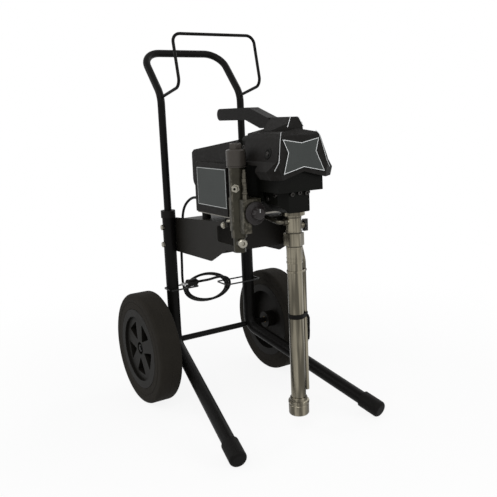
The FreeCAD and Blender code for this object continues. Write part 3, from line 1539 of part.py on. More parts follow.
def prime_valve_body():
    """Relief valve on the pump's right side, with the nipple block for the drain tube."""
    half = valve_half_height
    hub_end_x = port_boss_x + valve_hub_length
    hub = cylinder(half, valve_hub_length, (port_boss_x, rod_axis_y, relief_port_z), (1, 0, 0))
    link = box(
        (port_boss_x, rod_axis_y, relief_port_z - half),
        (hub_end_x, drain_top_y + half, relief_port_z + half),
    )
    block = box(
        (port_boss_x, drain_top_y - half + 1.0, relief_port_z - half),
        (drain_top_x + half, drain_top_y + half, relief_port_z + half),
    )
    stem = cylinder(prime_stem_radius, prime_knob_width, (hub_end_x, rod_axis_y, relief_port_z), (1, 0, 0))
    return hub.fuse([link, block, stem]).removeSplitter()


def prime_valve_knob():
    """Round knob with a grip bar on the relief valve's stem."""
    start = port_boss_x + valve_hub_length + face_gap
    knob = cylinder(prime_knob_disc_radius, prime_knob_width / 2.0, (start, rod_axis_y, relief_port_z), (1, 0, 0))
    reach = prime_knob_radius + prime_grip_overhang
    half = prime_grip_half_thickness
    grip = box(
        (start, rod_axis_y - half, relief_port_z - reach),
        (start + prime_knob_width + prime_grip_overhang, rod_axis_y + half, relief_port_z + reach),
    )
    hole = cylinder(prime_stem_radius + running_clearance, prime_knob_width, (start, rod_axis_y, relief_port_z), (1, 0, 0))
    return knob.fuse(grip).cut(hole).removeSplitter()


def port_direction(angle_deg):
    angle = math.radians(angle_deg)
    return Vector(-math.sin(angle), -math.cos(angle), 0)


def at_port(distance, height, angle_deg):
    """Point on a port's axis, so far from the filter column's axis."""
    return Vector(column_x, column_y, height) + port_direction(angle_deg) * distance


def filter_housing():
    """Manifold casting: block against the drive housing, filter column and port bosses."""
    left_x = column_x - manifold_overhang
    block = box(
        (left_x, manifold_front_y, manifold_bottom_z),
        (-housing_half_width, manifold_rear_y, manifold_top_z),
    )
    low_block = box(
        (left_x, manifold_front_y, manifold_low_bottom_z),
        (left_x + 2.0 * manifold_low_half_width, manifold_rear_y, manifold_bottom_z),
    )
    column_height = column_top_z - column_bottom_z
    column = cylinder(column_radius, column_height, (column_x, column_y, column_bottom_z), (0, 0, 1))
    foot = cylinder(column_foot_radius, column_foot_length, (column_x, column_y, column_foot_z), (0, 0, 1))
    shaft = cylinder(knob_shaft_radius, knob_shaft_length, (knob_x, manifold_front_y, knob_z), (0, -1, 0))
    body = block.fuse([low_block, column, foot, shaft])
    ports = (
        (hose_port_z, hose_port_angle_deg, hose_boss_radius),
        (plug_port_z, plug_port_angle_deg, plug_boss_radius),
    )
    for height, angle_deg, radius in ports:
        start = at_port(0.0, height, angle_deg)
        body = body.fuse(Part.makeCylinder(radius, port_boss_length, start, port_direction(angle_deg)))
    bore = cylinder(column_bore_radius, column_top_z - column_floor_z, (column_x, column_y, column_floor_z), (0, 0, 1))
    start = at_port(0.0, hose_port_z, hose_port_angle_deg)
    port = Part.makeCylinder(hose_bore_radius, port_boss_length, start, port_direction(hose_port_angle_deg))
    return body.cut(bore).cut(port).removeSplitter()


def filter_cap():
    """Round cap with a hexagon on top that closes the filter column."""
    base = (column_x, column_y, column_top_z)
    cap = cylinder(filter_cap_radius, filter_cap_height, base, (0, 0, 1))
    top = hexagon(filter_cap_hex, filter_cap_hex_height, (column_x, column_y, filter_cap_top_z), (0, 0, 1))
    room = cylinder(column_bore_radius, filter_element_rise + filter_end_gap, base, (0, 0, 1))
    return cap.fuse(top).cut(room).removeSplitter()


def filter_element():
    base = (column_x, column_y, column_floor_z)
    outer = filter_element_radius
    return ring(outer, outer - filter_element_wall, filter_element_top_z - column_floor_z, base, (0, 0, 1))


def hose_outlet():
    """Threaded outlet for the spray hose."""
    direction = port_direction(hose_port_angle_deg)
    start = at_port(port_boss_length, hose_port_z, hose_port_angle_deg)
    length = port_hex_length + hose_thread_length
    nut = hexagon(port_hex, port_hex_length, tuple(start), tuple(direction))
    thread = Part.makeCylinder(hose_thread_radius, length, start, direction)
    bore = Part.makeCylinder(hose_bore_radius, length, start, direction)
    return nut.fuse(thread).cut(bore).removeSplitter()


def port_plugs():
    """Hexagonal plug at the filter column's foot and the pressure sensor on the manifold."""
    start = at_port(port_boss_length, plug_port_z, plug_port_angle_deg)
    plug = hexagon(plug_hex, port_hex_length, tuple(start), tuple(port_direction(plug_port_angle_deg)))
    steps = []
    z = manifold_top_z
    for radius, height in sensor_steps:
        steps.append(cylinder(radius, height, (sensor_x, sensor_y, z), (0, 0, 1)))
        z += height
    sensor = steps[0].fuse(steps[1:]).removeSplitter()
    return Part.makeCompound([plug, sensor])


def outlet_pipe():
    """Bent pressure pipe from the pump to the manifold's side, with its union nuts."""
    end = (-housing_half_width, outlet_pipe_end_y, outlet_pipe_end_z)
    path = tangent_wire([
        Vector(-port_boss_x, rod_axis_y, outlet_port_z),
        Vector(outlet_pipe_bend_x, rod_axis_y, outlet_port_z),
        Vector(outlet_pipe_bend_x, outlet_pipe_end_y, outlet_pipe_end_z),
        Vector(*end),
    ], [outlet_pipe_bend] * 2)
    pipe = tube(path, outlet_pipe_radius, outlet_pipe_wall)
    first = hexagon(union_nut_hex, union_nut_length, (-port_boss_x, rod_axis_y, outlet_port_z), (-1, 0, 0))
    second = hexagon(union_nut_hex, union_nut_length, end, (1, 0, 0))
    solid_pipe = sweep(path, outlet_pipe_radius)
    return Part.makeCompound([pipe, first.cut(solid_pipe), second.cut(solid_pipe)])


def pressure_knob():
    """Pressure knob: wide skirt and a fluted grip."""
    start = manifold_front_y - knob_gap
    skirt = cylinder(knob_skirt_radius, knob_skirt_thickness, (knob_x, start, knob_z), (0, -1, 0))
    grip = cylinder(knob_grip_radius, knob_grip_length, (knob_x, start - knob_skirt_thickness, knob_z), (0, -1, 0))
    depth = knob_shaft_length - knob_gap + face_gap
    hole = cylinder(knob_shaft_radius + running_clearance, depth, (knob_x, start, knob_z), (0, -1, 0))
    return skirt.fuse(grip).cut(hole).removeSplitter()


def biarc(start, start_tangent, end, end_tangent):
    """Two arcs from start to end that keep the given directions."""
    chord = end - start
    turn = start_tangent + end_tangent
    a = 2.0 * (1.0 - start_tangent.dot(end_tangent))
    b = 2.0 * chord.dot(turn)
    c = -chord.dot(chord)
    reach = -c / b if abs(a) < 1e-9 else (-b + math.sqrt(b * b - 4.0 * a * c)) / (2.0 * a)
    joint = (start + end + (start_tangent - end_tangent) * reach) * 0.5
    edges = []
    for point, tangent, other in ((start, start_tangent, joint), (end, end_tangent * -1.0, joint)):
        step = other - point
        normal = (step - tangent * step.dot(tangent))
        radius = step.dot(step) / (2.0 * normal.Length)
        centre = point + normal.normalize() * radius
        middle = centre + ((point + other) * 0.5 - centre).normalize() * radius
        edges.append(Part.Arc(point, middle, other).toShape())
    second = Part.Arc(joint, edges[1].valueAt((edges[1].FirstParameter + edges[1].LastParameter) / 2.0), end)
    return [edges[0], second.toShape()]


def coil_frame():
    tilt = math.radians(coil_tilt_deg)
    centre = Vector(coil_centre_x, coil_centre_y, coil_centre_z)
    across = Vector(0, math.cos(tilt), math.sin(tilt))
    outward = Vector(0, -math.sin(tilt), math.cos(tilt))
    return centre, across, outward


def coil_point(turn):
    """Point of the loops' centre line after so many turns from the left end."""
    centre, across, outward = coil_frame()
    angle = 2.0 * math.pi * turn
    fan = 1.0 + coil_fan * (1.0 - math.cos(angle))
    last_share = max(0.0, 2.0 * turn - (coil_quarters / 2.0 - 1.0))
    offset = coil_pitch * turn * fan + coil_end_swing * last_share ** 2
    height = coil_half_height * (1.0 - coil_end_flattening * last_share ** 2)
    point = centre - Vector(1, 0, 0) * (coil_half_length * math.cos(angle))
    return point - across * (height * math.sin(angle)) + outward * offset


def coil_tangent(turn):
    step = 0.001
    return (coil_point(turn + step) - coil_point(turn - step)).normalize()


def coil_edges():
    """Loops of the cord as arcs, with a straight run at either end."""
    turns = [number / 8.0 for number in range(2 * coil_quarters + 1)]
    points = [coil_point(turn) for turn in turns]
    tangents = [coil_tangent(turn) for turn in turns[:-1]] + [Vector(-1, 0, 0)]
    start = points[0] - tangents[0] * coil_lead
    end = points[-1] + Vector(-plug_lead, 0, 0)
    edges = [Part.LineSegment(start, points[0]).toShape()]
    for index in range(len(points) - 1):
        edges += biarc(points[index], tangents[index], points[index + 1], tangents[index + 1])
    edges.append(Part.LineSegment(points[-1], end).toShape())
    return edges, start, tangents[0], end, Vector(-1, 0, 0)


def cord_points():
    """Route of the cord from the strain relief to the first loop."""
    edges, coil_start, coil_direction, end, end_direction = coil_edges()
    exit_y = box_rear_y + relief_length
    return [
        Vector(-cord_exit_x, exit_y, cord_exit_z),
        Vector(-cord_exit_x, exit_y + cord_exit_run, cord_exit_z),
    ] + [Vector(*point) for point in cord_route] + [coil_start - coil_direction * coil_run_in, coil_start]


def power_cord():
    """Free stretch of the mains cord."""
    points = cord_points()
    radii = []
    for index in range(1, len(points) - 1):
        back = points[index - 1] - points[index]
        ahead = points[index + 1] - points[index]
        half_turn = (math.pi - back.getAngle(ahead)) / 2.0
        shorter = min(back.Length, ahead.Length)
        radii.append(0.45 * shorter / math.tan(half_turn))
    path = tangent_wire(points, radii)
    solid = sweep(path, cord_radius)
    expected = math.pi * cord_radius ** 2 * path.Length
    print("cord stretch radii", [round(radius, 1) for radius in radii])
    print("cord stretch length", round(path.Length, 1), "volume share", round(solid.Volume / expected, 4))
    return solid


def cord_coil():
    """Loops of the mains cord as one unbroken tube."""
    edges, start, start_tangent, end, end_tangent = coil_edges()
    path = Part.Wire(edges)
    circle = Part.Circle(start, start_tangent, cord_radius)
    solid = path.makePipeShell([Part.Wire([circle.toShape()])], True, False)
    samples = []
    walked = 0.0
    for edge in edges:
        for step in range(6):
            share = (step + 0.5) / 6.0
            samples.append((walked + share * edge.Length, edge.valueAt(edge.FirstParameter + share * (edge.LastParameter - edge.FirstParameter))))
        walked += edge.Length
    least = min(
        (b - a).Length
        for first, (at_a, a) in enumerate(samples)
        for at_b, b in samples[first + 1:]
        if at_b - at_a > 8.0 * cord_radius
    )
    print("cord loops length", round(path.Length, 1), "least gap to itself", round(least - 2.0 * cord_radius, 2))
    return solid


def power_plug():
    """Mains plug on the cord's end: tapered neck, body and two pins."""
    edges, start, start_tangent, end, direction = coil_edges()
    neck = Part.makeCone(cord_radius + 1.0, plug_body_radius, plug_neck_length, end, direction)
    body_start = end + direction * plug_neck_length
    body = Part.makeCylinder(plug_body_radius, plug_body_length, body_start, direction)
    plug = neck.fuse(body)
    across = direction.cross(Vector(0, 0, 1)).normalize()
    for side in (-1.0, 1.0):
        pin_start = body_start + direction * (plug_body_length - 1.0) + across * (side * plug_pin_spacing / 2.0)
        plug = plug.fuse(Part.makeCylinder(2.4, plug_pin_length + 1.0, pin_start, direction))
    return plug.removeSplitter()


def tie_band(x_low, x_high, y_low, y_high, low_z):
    """Strap round an upright and the loops beside it."""
    outline = [Vector(x_low, y_low, low_z), Vector(x_high, y_low, low_z), Vector(x_high, y_high, low_z), Vector(x_low, y_high, low_z)]
    outer = Part.Face(rounded_outline(outline, [6.0] * 4))
    t = tie_thickness
    shrunk = [
        Vector(x_low + t, y_low + t, low_z),
        Vector(x_high - t, y_low + t, low_z),
        Vector(x_high - t, y_high - t, low_z),
        Vector(x_low + t, y_high - t, low_z),
    ]
    inner = Part.Face(rounded_outline(shrunk, [6.0 - t] * 4))
    rise = Vector(0, 0, tie_height)
    return outer.extrude(rise).cut(inner.extrude(rise))


def cord_ties():
    """Two straps that hold the loops between the uprights."""
    reach = leg_x + leg_tube_radius + tie_thickness + running_clearance
    half = leg_tube_radius + tie_thickness + running_clearance
    loops_right = coil_centre_x + coil_half_length * tie_reach_share - tie_thickness
    edges, start, start_direction, end, end_direction = coil_edges()
    front = end.y - plug_body_radius
    plug_rest_z = end.z - plug_body_radius - face_gap - tie_height
    left = tie_band(-reach, left_tie_reach, end.y, half, plug_rest_z)
    right = tie_band(loops_right, reach, front, half, coil_centre_z + right_tie_rise)
    return Part.makeCompound([left, right])


def pump_nodes():
    """Pieces of the pump, the fluid section and the cord."""
    return {
        "pump_cylinder": pump_cylinder(),
        "pump_nuts": pump_nuts(),
        "pump_packings": pump_packings(),
        "piston_rod": piston_rod(),
        "connecting_rod": connecting_rod(),
        "piston_ball": ball_on_seat(piston_ball_radius, piston_seat_radius, piston_bottom_z + piston_seat_height),
        "foot_valve_housing": foot_valve_housing(),
        "intake_ball": ball_on_seat(intake_ball_radius, intake_seat_radius, intake_seat_z),
        "suction_tube": suction_tube(),
        "inlet_strainer": inlet_strainer(),
        "drain_tube": drain_tube(),
        "tube_clips": tube_clips(),
        "prime_valve_body": prime_valve_body(),
        "prime_valve_knob": prime_valve_knob(),
        "filter_housing": filter_housing(),
        "filter_cap": filter_cap(),
        "filter_element": filter_element(),
        "hose_outlet": hose_outlet(),
        "port_plugs": port_plugs(),
        "outlet_pipe": outlet_pipe(),
        "pressure_knob": pressure_knob(),
        "power_cord": power_cord(),
        "cord_coil": cord_coil(),
        "power_plug": power_plug(),
        "cord_ties": cord_ties(),
    }


def cart_nodes():
    """Pieces of the cart and of the telescoping handle."""
    pieces = {
        "left_leg_tube": mirrored(leg_tube()),
        "right_leg_tube": leg_tube(),
        "foot_caps": Part.makeCompound([foot_cap(), mirrored(foot_cap())]),
        "sleeve_collars": Part.makeCompound([collar(1.0), collar(-1.0)]),
        "wheel_axle": axle(),
        "axle_fasteners": Part.makeCompound(axle_spacers().Solids + axle_fasteners().Solids),
        "left_tyre": mirrored(tyre()),
        "left_wheel_hub": mirrored(wheel_hub()),
        "right_tyre": tyre(),
        "right_wheel_hub": wheel_hub(),
        "wheel_bushes": wheel_bushes(),
        "handle_tube": handle_tube(),
        "handle_end_guides": handle_guides(),
        "hose_rack": hose_rack(),
        "mounting_bracket": mounting_bracket(),
        "bracket_bolts": bracket_bolts(),
    }
    return pieces


def save(pieces):
    """Write each piece with the origin under the middle of the object."""
    os.makedirs("parts", exist_ok=True)
    corner, foot, direction = leg_geometry()
    rim_reach = (foot_cap_radius - foot_cap_round) * math.sqrt(1.0 - direction.y ** 2)
    front_y = foot.y - rim_reach - foot_cap_round
    shift = Vector(0, -(wheel_radius + front_y) / 2.0, 0)
    for name, shape in pieces.items():
        shape.translate(shift)
        shape.exportStep("parts/" + name + ".step")


nodes = cart_nodes()
nodes.update(drive_nodes())
nodes.update(pump_nodes())
save(nodes)
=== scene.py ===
import json
import math

import bmesh
import bpy
from mathutils import Matrix, Vector


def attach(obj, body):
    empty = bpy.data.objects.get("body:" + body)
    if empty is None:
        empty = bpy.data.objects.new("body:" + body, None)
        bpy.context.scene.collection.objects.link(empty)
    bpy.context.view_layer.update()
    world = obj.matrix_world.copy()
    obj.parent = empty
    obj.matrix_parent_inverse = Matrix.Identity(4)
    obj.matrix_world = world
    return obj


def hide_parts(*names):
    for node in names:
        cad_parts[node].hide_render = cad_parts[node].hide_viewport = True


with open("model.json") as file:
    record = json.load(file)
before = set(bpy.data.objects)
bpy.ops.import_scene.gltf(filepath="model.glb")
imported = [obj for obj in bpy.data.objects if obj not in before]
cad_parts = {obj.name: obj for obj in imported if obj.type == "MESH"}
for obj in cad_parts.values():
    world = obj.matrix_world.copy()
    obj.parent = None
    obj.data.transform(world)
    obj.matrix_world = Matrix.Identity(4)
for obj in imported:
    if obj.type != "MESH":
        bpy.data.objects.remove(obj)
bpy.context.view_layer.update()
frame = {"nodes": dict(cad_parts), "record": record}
print("frame loaded:", len(frame["nodes"]), "nodes")

# Everything below is in metres, in the frame of the CAD model. The pump faces -Y.
millimetre = 0.001


# camera
cameraSetup = {
    "place": (-0.89618, -1.50458, 0.76708),
    "azimuth": -32.55,
    "elevation": 9.88,
    "roll": -2.25,
    "lens": 49.15,
    "shift": (-0.0215, -0.0349),
}


def addCamera(setup):
    azimuth = math.radians(setup["azimuth"])
    elevation = math.radians(setup["elevation"])
    roll = math.radians(setup["roll"])
    right = Vector((math.cos(azimuth), math.sin(azimuth), 0))
    back = Vector((
        math.sin(azimuth) * math.cos(elevation),
        -math.cos(azimuth) * math.cos(elevation),
        math.sin(elevation),
    ))
    up = back.cross(right)
    turnedRight = right * math.cos(roll) + up * math.sin(roll)
    turnedUp = up * math.cos(roll) - right * math.sin(roll)
    data = bpy.data.cameras.new("studioCamera")
    data.lens = setup["lens"]
    data.sensor_width = 36
    data.shift_x, data.shift_y = setup["shift"]
    data.clip_start = 0.05
    camera = bpy.data.objects.new("studioCamera", data)
    bpy.context.scene.collection.objects.link(camera)
    axes = Matrix((turnedRight, turnedUp, back)).transposed()
    camera.matrix_world = Matrix.Translation(setup["place"]) @ axes.to_4x4()
    bpy.context.scene.camera = camera
    return camera


addCamera(cameraSetup)
print("camera placed")


# cord
cordShape = {
    "diameter": 0.007,
    "length": 1.25,
    "exit": (-0.084, 0.0635, 0.556),
    "drop": [                       # from the box down behind the bracket to the first loop
        (-0.084, 0.0635, 0.556),
        (-0.084, 0.0855, 0.556),
        (-0.090, 0.1125, 0.540),
        (-0.091, 0.1335, 0.517),
        (-0.087, 0.1495, 0.485),
        (-0.085, 0.1645, 0.447),
        (-0.084, 0.1735, 0.400),
        (-0.083, 0.1775, 0.352),
        (-0.085, 0.1768, 0.3150),
    ],
    "coilCentre": (-0.020, 0.1655, 0.284),
    "halfLength": 0.065,
    "halfHeight": 0.037,
    "tilt": 70.0,
    "pitch": 0.0085,
    "fan": 0.2,
    "turns": 2.75,
    "pointsPerTurn": 16,
    "endSwing": 0.010,
    "endFlattening": 0.55,
    "plugLead": 0.036,
}


def linkMesh(name, mesh):
    piece = bpy.data.objects.new(name, mesh)
    bpy.context.scene.collection.objects.link(piece)
    return piece


def loopPoint(shape, turn):
    tilt = math.radians(shape["tilt"])
    across = Vector((0, math.cos(tilt), math.sin(tilt)))
    outward = Vector((0, -math.sin(tilt), math.cos(tilt)))
    angle = 2 * math.pi * turn
    lastShare = max(0.0, 2 * turn - (2 * shape["turns"] - 1))
    spread = 1 + shape["fan"] * (1 - math.cos(angle))
    offset = shape["pitch"] * turn * spread + shape["endSwing"] * lastShare ** 2
    height = shape["halfHeight"] * (1 - shape["endFlattening"] * lastShare ** 2)
    point = Vector(shape["coilCentre"]) - Vector((shape["halfLength"] * math.cos(angle), 0, 0))
    return point - across * (height * math.sin(angle)) + outward * offset


def cordRoute(shape):
    points = [Vector(point) for point in shape["drop"]]
    steps = round(shape["turns"] * shape["pointsPerTurn"])
    points += [loopPoint(shape, step / shape["pointsPerTurn"]) for step in range(steps + 1)]
    lead = Vector((-shape["plugLead"], 0, 0))
    points += [points[-1] + lead * 0.5, points[-1] + lead]
    return points


def buildCord(shape):
    data = bpy.data.curves.new("mainsCord", "CURVE")
    data.dimensions = "3D"
    data.bevel_depth = 1.0     # times the radius of each point
    data.bevel_resolution = 6
    data.resolution_u = 8
    route = cordRoute(shape)
    spline = data.splines.new("NURBS")
    spline.points.add(len(route) - 1)
    for point, place in zip(spline.points, route):
        point.co = (*place, 1)
        point.radius = shape["diameter"] / 2
    spline.order_u = 3
    spline.use_endpoint_u = True
    cord = bpy.data.objects.new("mainsCord", data)
    bpy.context.scene.collection.objects.link(cord)
    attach(cord, "cart")
    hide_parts("power_cord", "cord_coil")
    return cord, route


mainsCord, cordPoints = buildCord(cordShape)
print("cord routed with", len(cordPoints), "points, ends at", [round(v, 4) for v in cordPoints[-1]])


# shared shader effects
def newGroup(name, inputs, outputs):
    group = bpy.data.node_groups.new(name, "ShaderNodeTree")
    for label, kind, value in inputs:
        socket = group.interface.new_socket(name=label, in_out="INPUT", socket_type=kind)
        socket.default_value = value
    for label, kind in outputs:
        group.interface.new_socket(name=label, in_out="OUTPUT", socket_type=kind)
    start = group.nodes.new("NodeGroupInput")
    end = group.nodes.new("NodeGroupOutput")
    return group, start, end


def mathNode(tree, operation, first, second=None):
    node = tree.nodes.new("ShaderNodeMath")
    node.operation = operation
    for socket, value in zip(node.inputs, (first, second)):
        if value is None:
            continue
        if isinstance(value, (int, float)):
            socket.default_value = value
        else:
            tree.links.new(value, socket)
    return node.outputs["Value"]


def buildGrainGroup():
    # fine moulded or cast grain: a height for bumps
    group, start, end = newGroup(
        "fineGrain",
        [("Scale", "NodeSocketFloat", 900.0), ("Roughen", "NodeSocketFloat", 0.5)],
        [("Height", "NodeSocketFloat")],
    )
    place = group.nodes.new("ShaderNodeTexCoord")
    noise = group.nodes.new("ShaderNodeTexNoise")
    noise.inputs["Detail"].default_value = 3
    group.links.new(place.outputs["Object"], noise.inputs["Vector"])
    group.links.new(start.outputs["Scale"], noise.inputs["Scale"])
    group.links.new(start.outputs["Roughen"], noise.inputs["Roughness"])
    group.links.new(noise.outputs["Fac"], end.inputs["Height"])
    return group


def buildMottleGroup():
    # slow changes of shade and a little dust, as on a used machine
    group, start, end = newGroup(
        "slowMottle",
        [
            ("Color", "NodeSocketColor", (0.1, 0.1, 0.1, 1)),
            ("Scale", "NodeSocketFloat", 14.0),
            ("Amount", "NodeSocketFloat", 0.15),
        ],
        [("Color", "NodeSocketColor"), ("Mask", "NodeSocketFloat")],
    )
    place = group.nodes.new("ShaderNodeTexCoord")
    noise = group.nodes.new("ShaderNodeTexNoise")
    noise.inputs["Detail"].default_value = 5
    noise.inputs["Roughness"].default_value = 0.6
    group.links.new(place.outputs["Object"], noise.inputs["Vector"])
    group.links.new(start.outputs["Scale"], noise.inputs["Scale"])
    centred = mathNode(group, "SUBTRACT", noise.outputs["Fac"], 0.5)
    swing = mathNode(group, "MULTIPLY", centred, start.outputs["Amount"])
    gain = mathNode(group, "ADD", mathNode(group, "MULTIPLY", swing, 2.0), 1.0)
    shade = group.nodes.new("ShaderNodeVectorMath")
    shade.operation = "SCALE"
    group.links.new(start.outputs["Color"], shade.inputs[0])
    group.links.new(gain, shade.inputs["Scale"])
    group.links.new(shade.outputs["Vector"], end.inputs["Color"])
    group.links.new(noise.outputs["Fac"], end.inputs["Mask"])
    return group


def buildTurnedGroup():
    # fine lines round a turned or drawn piece: stretched noise
    group, start, end = newGroup(
        "turnedLines",
        [("Scale", "NodeSocketFloat", 60.0), ("Stretch", "NodeSocketVector", (1, 1, 30))],
        [("Height", "NodeSocketFloat")],
    )
    place = group.nodes.new("ShaderNodeTexCoord")
    stretch = group.nodes.new("ShaderNodeVectorMath")
    stretch.operation = "MULTIPLY"
    noise = group.nodes.new("ShaderNodeTexNoise")
    noise.inputs["Detail"].default_value = 4
    group.links.new(place.outputs["Object"], stretch.inputs[0])
    group.links.new(start.outputs["Stretch"], stretch.inputs[1])
    group.links.new(stretch.outputs["Vector"], noise.inputs["Vector"])
    group.links.new(start.outputs["Scale"], noise.inputs["Scale"])
    group.links.new(noise.outputs["Fac"], end.inputs["Height"])
    return group


def buildWearGroup():
    # scuffed edges: bright where the mesh turns sharply outwards and a noise allows it
    group, start, end = newGroup(
        "edgeScuff",
        [
            ("Color", "NodeSocketColor", (0.1, 0.1, 0.1, 1)),
            ("Bare", "NodeSocketColor", (0.3, 0.3, 0.3, 1)),
            ("Amount", "NodeSocketFloat", 0.4),
        ],
        [("Color", "NodeSocketColor"), ("Mask", "NodeSocketFloat")],
    )
    shape = group.nodes.new("ShaderNodeNewGeometry")
    place = group.nodes.new("ShaderNodeTexCoord")
    noise = group.nodes.new("ShaderNodeTexNoise")
    noise.inputs["Scale"].default_value = 120
    noise.inputs["Detail"].default_value = 4
    group.links.new(place.outputs["Object"], noise.inputs["Vector"])
    edge = group.nodes.new("ShaderNodeMapRange")
    edge.inputs["From Min"].default_value = 0.52
    edge.inputs["From Max"].default_value = 0.60
    group.links.new(shape.outputs["Pointiness"], edge.inputs["Value"])
    patch = group.nodes.new("ShaderNodeMapRange")
    patch.inputs["From Min"].default_value = 0.45
    patch.inputs["From Max"].default_value = 0.65
    group.links.new(noise.outputs["Fac"], patch.inputs["Value"])
    both = mathNode(group, "MULTIPLY", edge.outputs["Result"], patch.outputs["Result"])
    mask = mathNode(group, "MULTIPLY", both, start.outputs["Amount"])
    mix = group.nodes.new("ShaderNodeMix")
    mix.data_type = "RGBA"
    group.links.new(mask, mix.inputs["Factor"])
    group.links.new(start.outputs["Color"], mix.inputs[6])
    group.links.new(start.outputs["Bare"], mix.inputs[7])
    group.links.new(mix.outputs[2], end.inputs["Color"])
    group.links.new(mask, end.inputs["Mask"])
    return group


def buildStreakAndReflectionGroup():
    # long pale and dark streaks down a tube, partly drawing marks and partly painted reflection of bright
    # and dark surroundings
    group, start, end = newGroup(
        "streaksAndPaintedReflection",
        [
            ("Color", "NodeSocketColor", (0.5, 0.5, 0.5, 1)),
            ("Across", "NodeSocketFloat", 95.0),
            ("Along", "NodeSocketFloat", 5.0),
            ("Amount", "NodeSocketFloat", 0.8),
        ],
        [("Color", "NodeSocketColor"), ("Mask", "NodeSocketFloat")],
    )
    place = group.nodes.new("ShaderNodeTexCoord")
    scale = group.nodes.new("ShaderNodeCombineXYZ")
    for axis in ("X", "Y"):
        group.links.new(start.outputs["Across"], scale.inputs[axis])
    group.links.new(start.outputs["Along"], scale.inputs["Z"])
    stretch = group.nodes.new("ShaderNodeVectorMath")
    stretch.operation = "MULTIPLY"
    noise = group.nodes.new("ShaderNodeTexNoise")
    noise.inputs["Scale"].default_value = 1.0
    noise.inputs["Detail"].default_value = 2.5
    group.links.new(place.outputs["Object"], stretch.inputs[0])
    group.links.new(scale.outputs["Vector"], stretch.inputs[1])
    group.links.new(stretch.outputs["Vector"], noise.inputs["Vector"])
    edge = group.nodes.new("ShaderNodeMapRange")
    edge.inputs["From Min"].default_value = 0.38
    edge.inputs["From Max"].default_value = 0.62
    edge.inputs["To Min"].default_value = -0.5
    edge.inputs["To Max"].default_value = 0.5
    edge.interpolation_type = "SMOOTHSTEP"
    group.links.new(noise.outputs["Fac"], edge.inputs["Value"])
    swing = mathNode(group, "MULTIPLY", edge.outputs["Result"], start.outputs["Amount"])
    gain = mathNode(group, "ADD", swing, 1.0)
    gain = mathNode(group, "POWER", gain, 1.8)
    shade = group.nodes.new("ShaderNodeVectorMath")
    shade.operation = "SCALE"
    group.links.new(start.outputs["Color"], shade.inputs[0])
    group.links.new(gain, shade.inputs["Scale"])
    group.links.new(shade.outputs["Vector"], end.inputs["Color"])
    group.links.new(noise.outputs["Fac"], end.inputs["Mask"])
    return group


fineGrain = buildGrainGroup()
streaksAndPaintedReflection = buildStreakAndReflectionGroup()
slowMottle = buildMottleGroup()
turnedLines = buildTurnedGroup()
edgeScuff = buildWearGroup()
print("shader groups built")


# materials
def makeFinish(name, color, roughness, metallic=0.0, grain=None, bump=0.1, lines=None, reflectionStreaks=0.0,
               mottle=0.15, mottleScale=14.0, coat=0.0, wear=0.0, bare=(0.3, 0.3, 0.3), specular=0.5):
    material = bpy.data.materials.new(name)
    material.use_nodes = True
    tree = material.node_tree
    shader = tree.nodes["Principled BSDF"]
    shader.inputs["Metallic"].default_value = metallic
    shader.inputs["Specular IOR Level"].default_value = specular
    shader.inputs["Coat Weight"].default_value = coat
    shader.inputs["Coat Roughness"].default_value = 0.25
    tone = tree.nodes.new("ShaderNodeGroup")
    # streaked metals take painted reflection streaks in their base colour instead of the slow mottle
    tone.node_tree = streaksAndPaintedReflection if reflectionStreaks else slowMottle
    tone.inputs["Color"].default_value = (*color, 1)
    tone.inputs["Amount"].default_value = reflectionStreaks or mottle
    if not reflectionStreaks:
        tone.inputs["Scale"].default_value = mottleScale
    shade = tone.outputs["Color"]
    if wear:
        scuff = tree.nodes.new("ShaderNodeGroup")
        scuff.node_tree = edgeScuff
        scuff.inputs["Bare"].default_value = (*bare, 1)
        scuff.inputs["Amount"].default_value = wear
        tree.links.new(shade, scuff.inputs["Color"])
        shade = scuff.outputs["Color"]
    tree.links.new(shade, shader.inputs["Base Color"])
    gloss = tree.nodes.new("ShaderNodeMapRange")
    gloss.inputs["To Min"].default_value = max(0.03, roughness - 0.08)
    gloss.inputs["To Max"].default_value = min(1.0, roughness + 0.08)
    tree.links.new(tone.outputs["Mask"], gloss.inputs["Value"])
    tree.links.new(gloss.outputs["Result"], shader.inputs["Roughness"])
    if grain or lines:
        texture = tree.nodes.new("ShaderNodeGroup")
        texture.node_tree = turnedLines if lines else fineGrain
        texture.inputs["Scale"].default_value = grain or 60.0
        if lines:
            texture.inputs["Stretch"].default_value = lines
        relief = tree.nodes.new("ShaderNodeBump")
        relief.inputs["Strength"].default_value = bump
        relief.inputs["Distance"].default_value = 0.0006
        tree.links.new(texture.outputs["Height"], relief.inputs["Height"])
        tree.links.new(relief.outputs["Normal"], shader.inputs["Normal"])
    return material


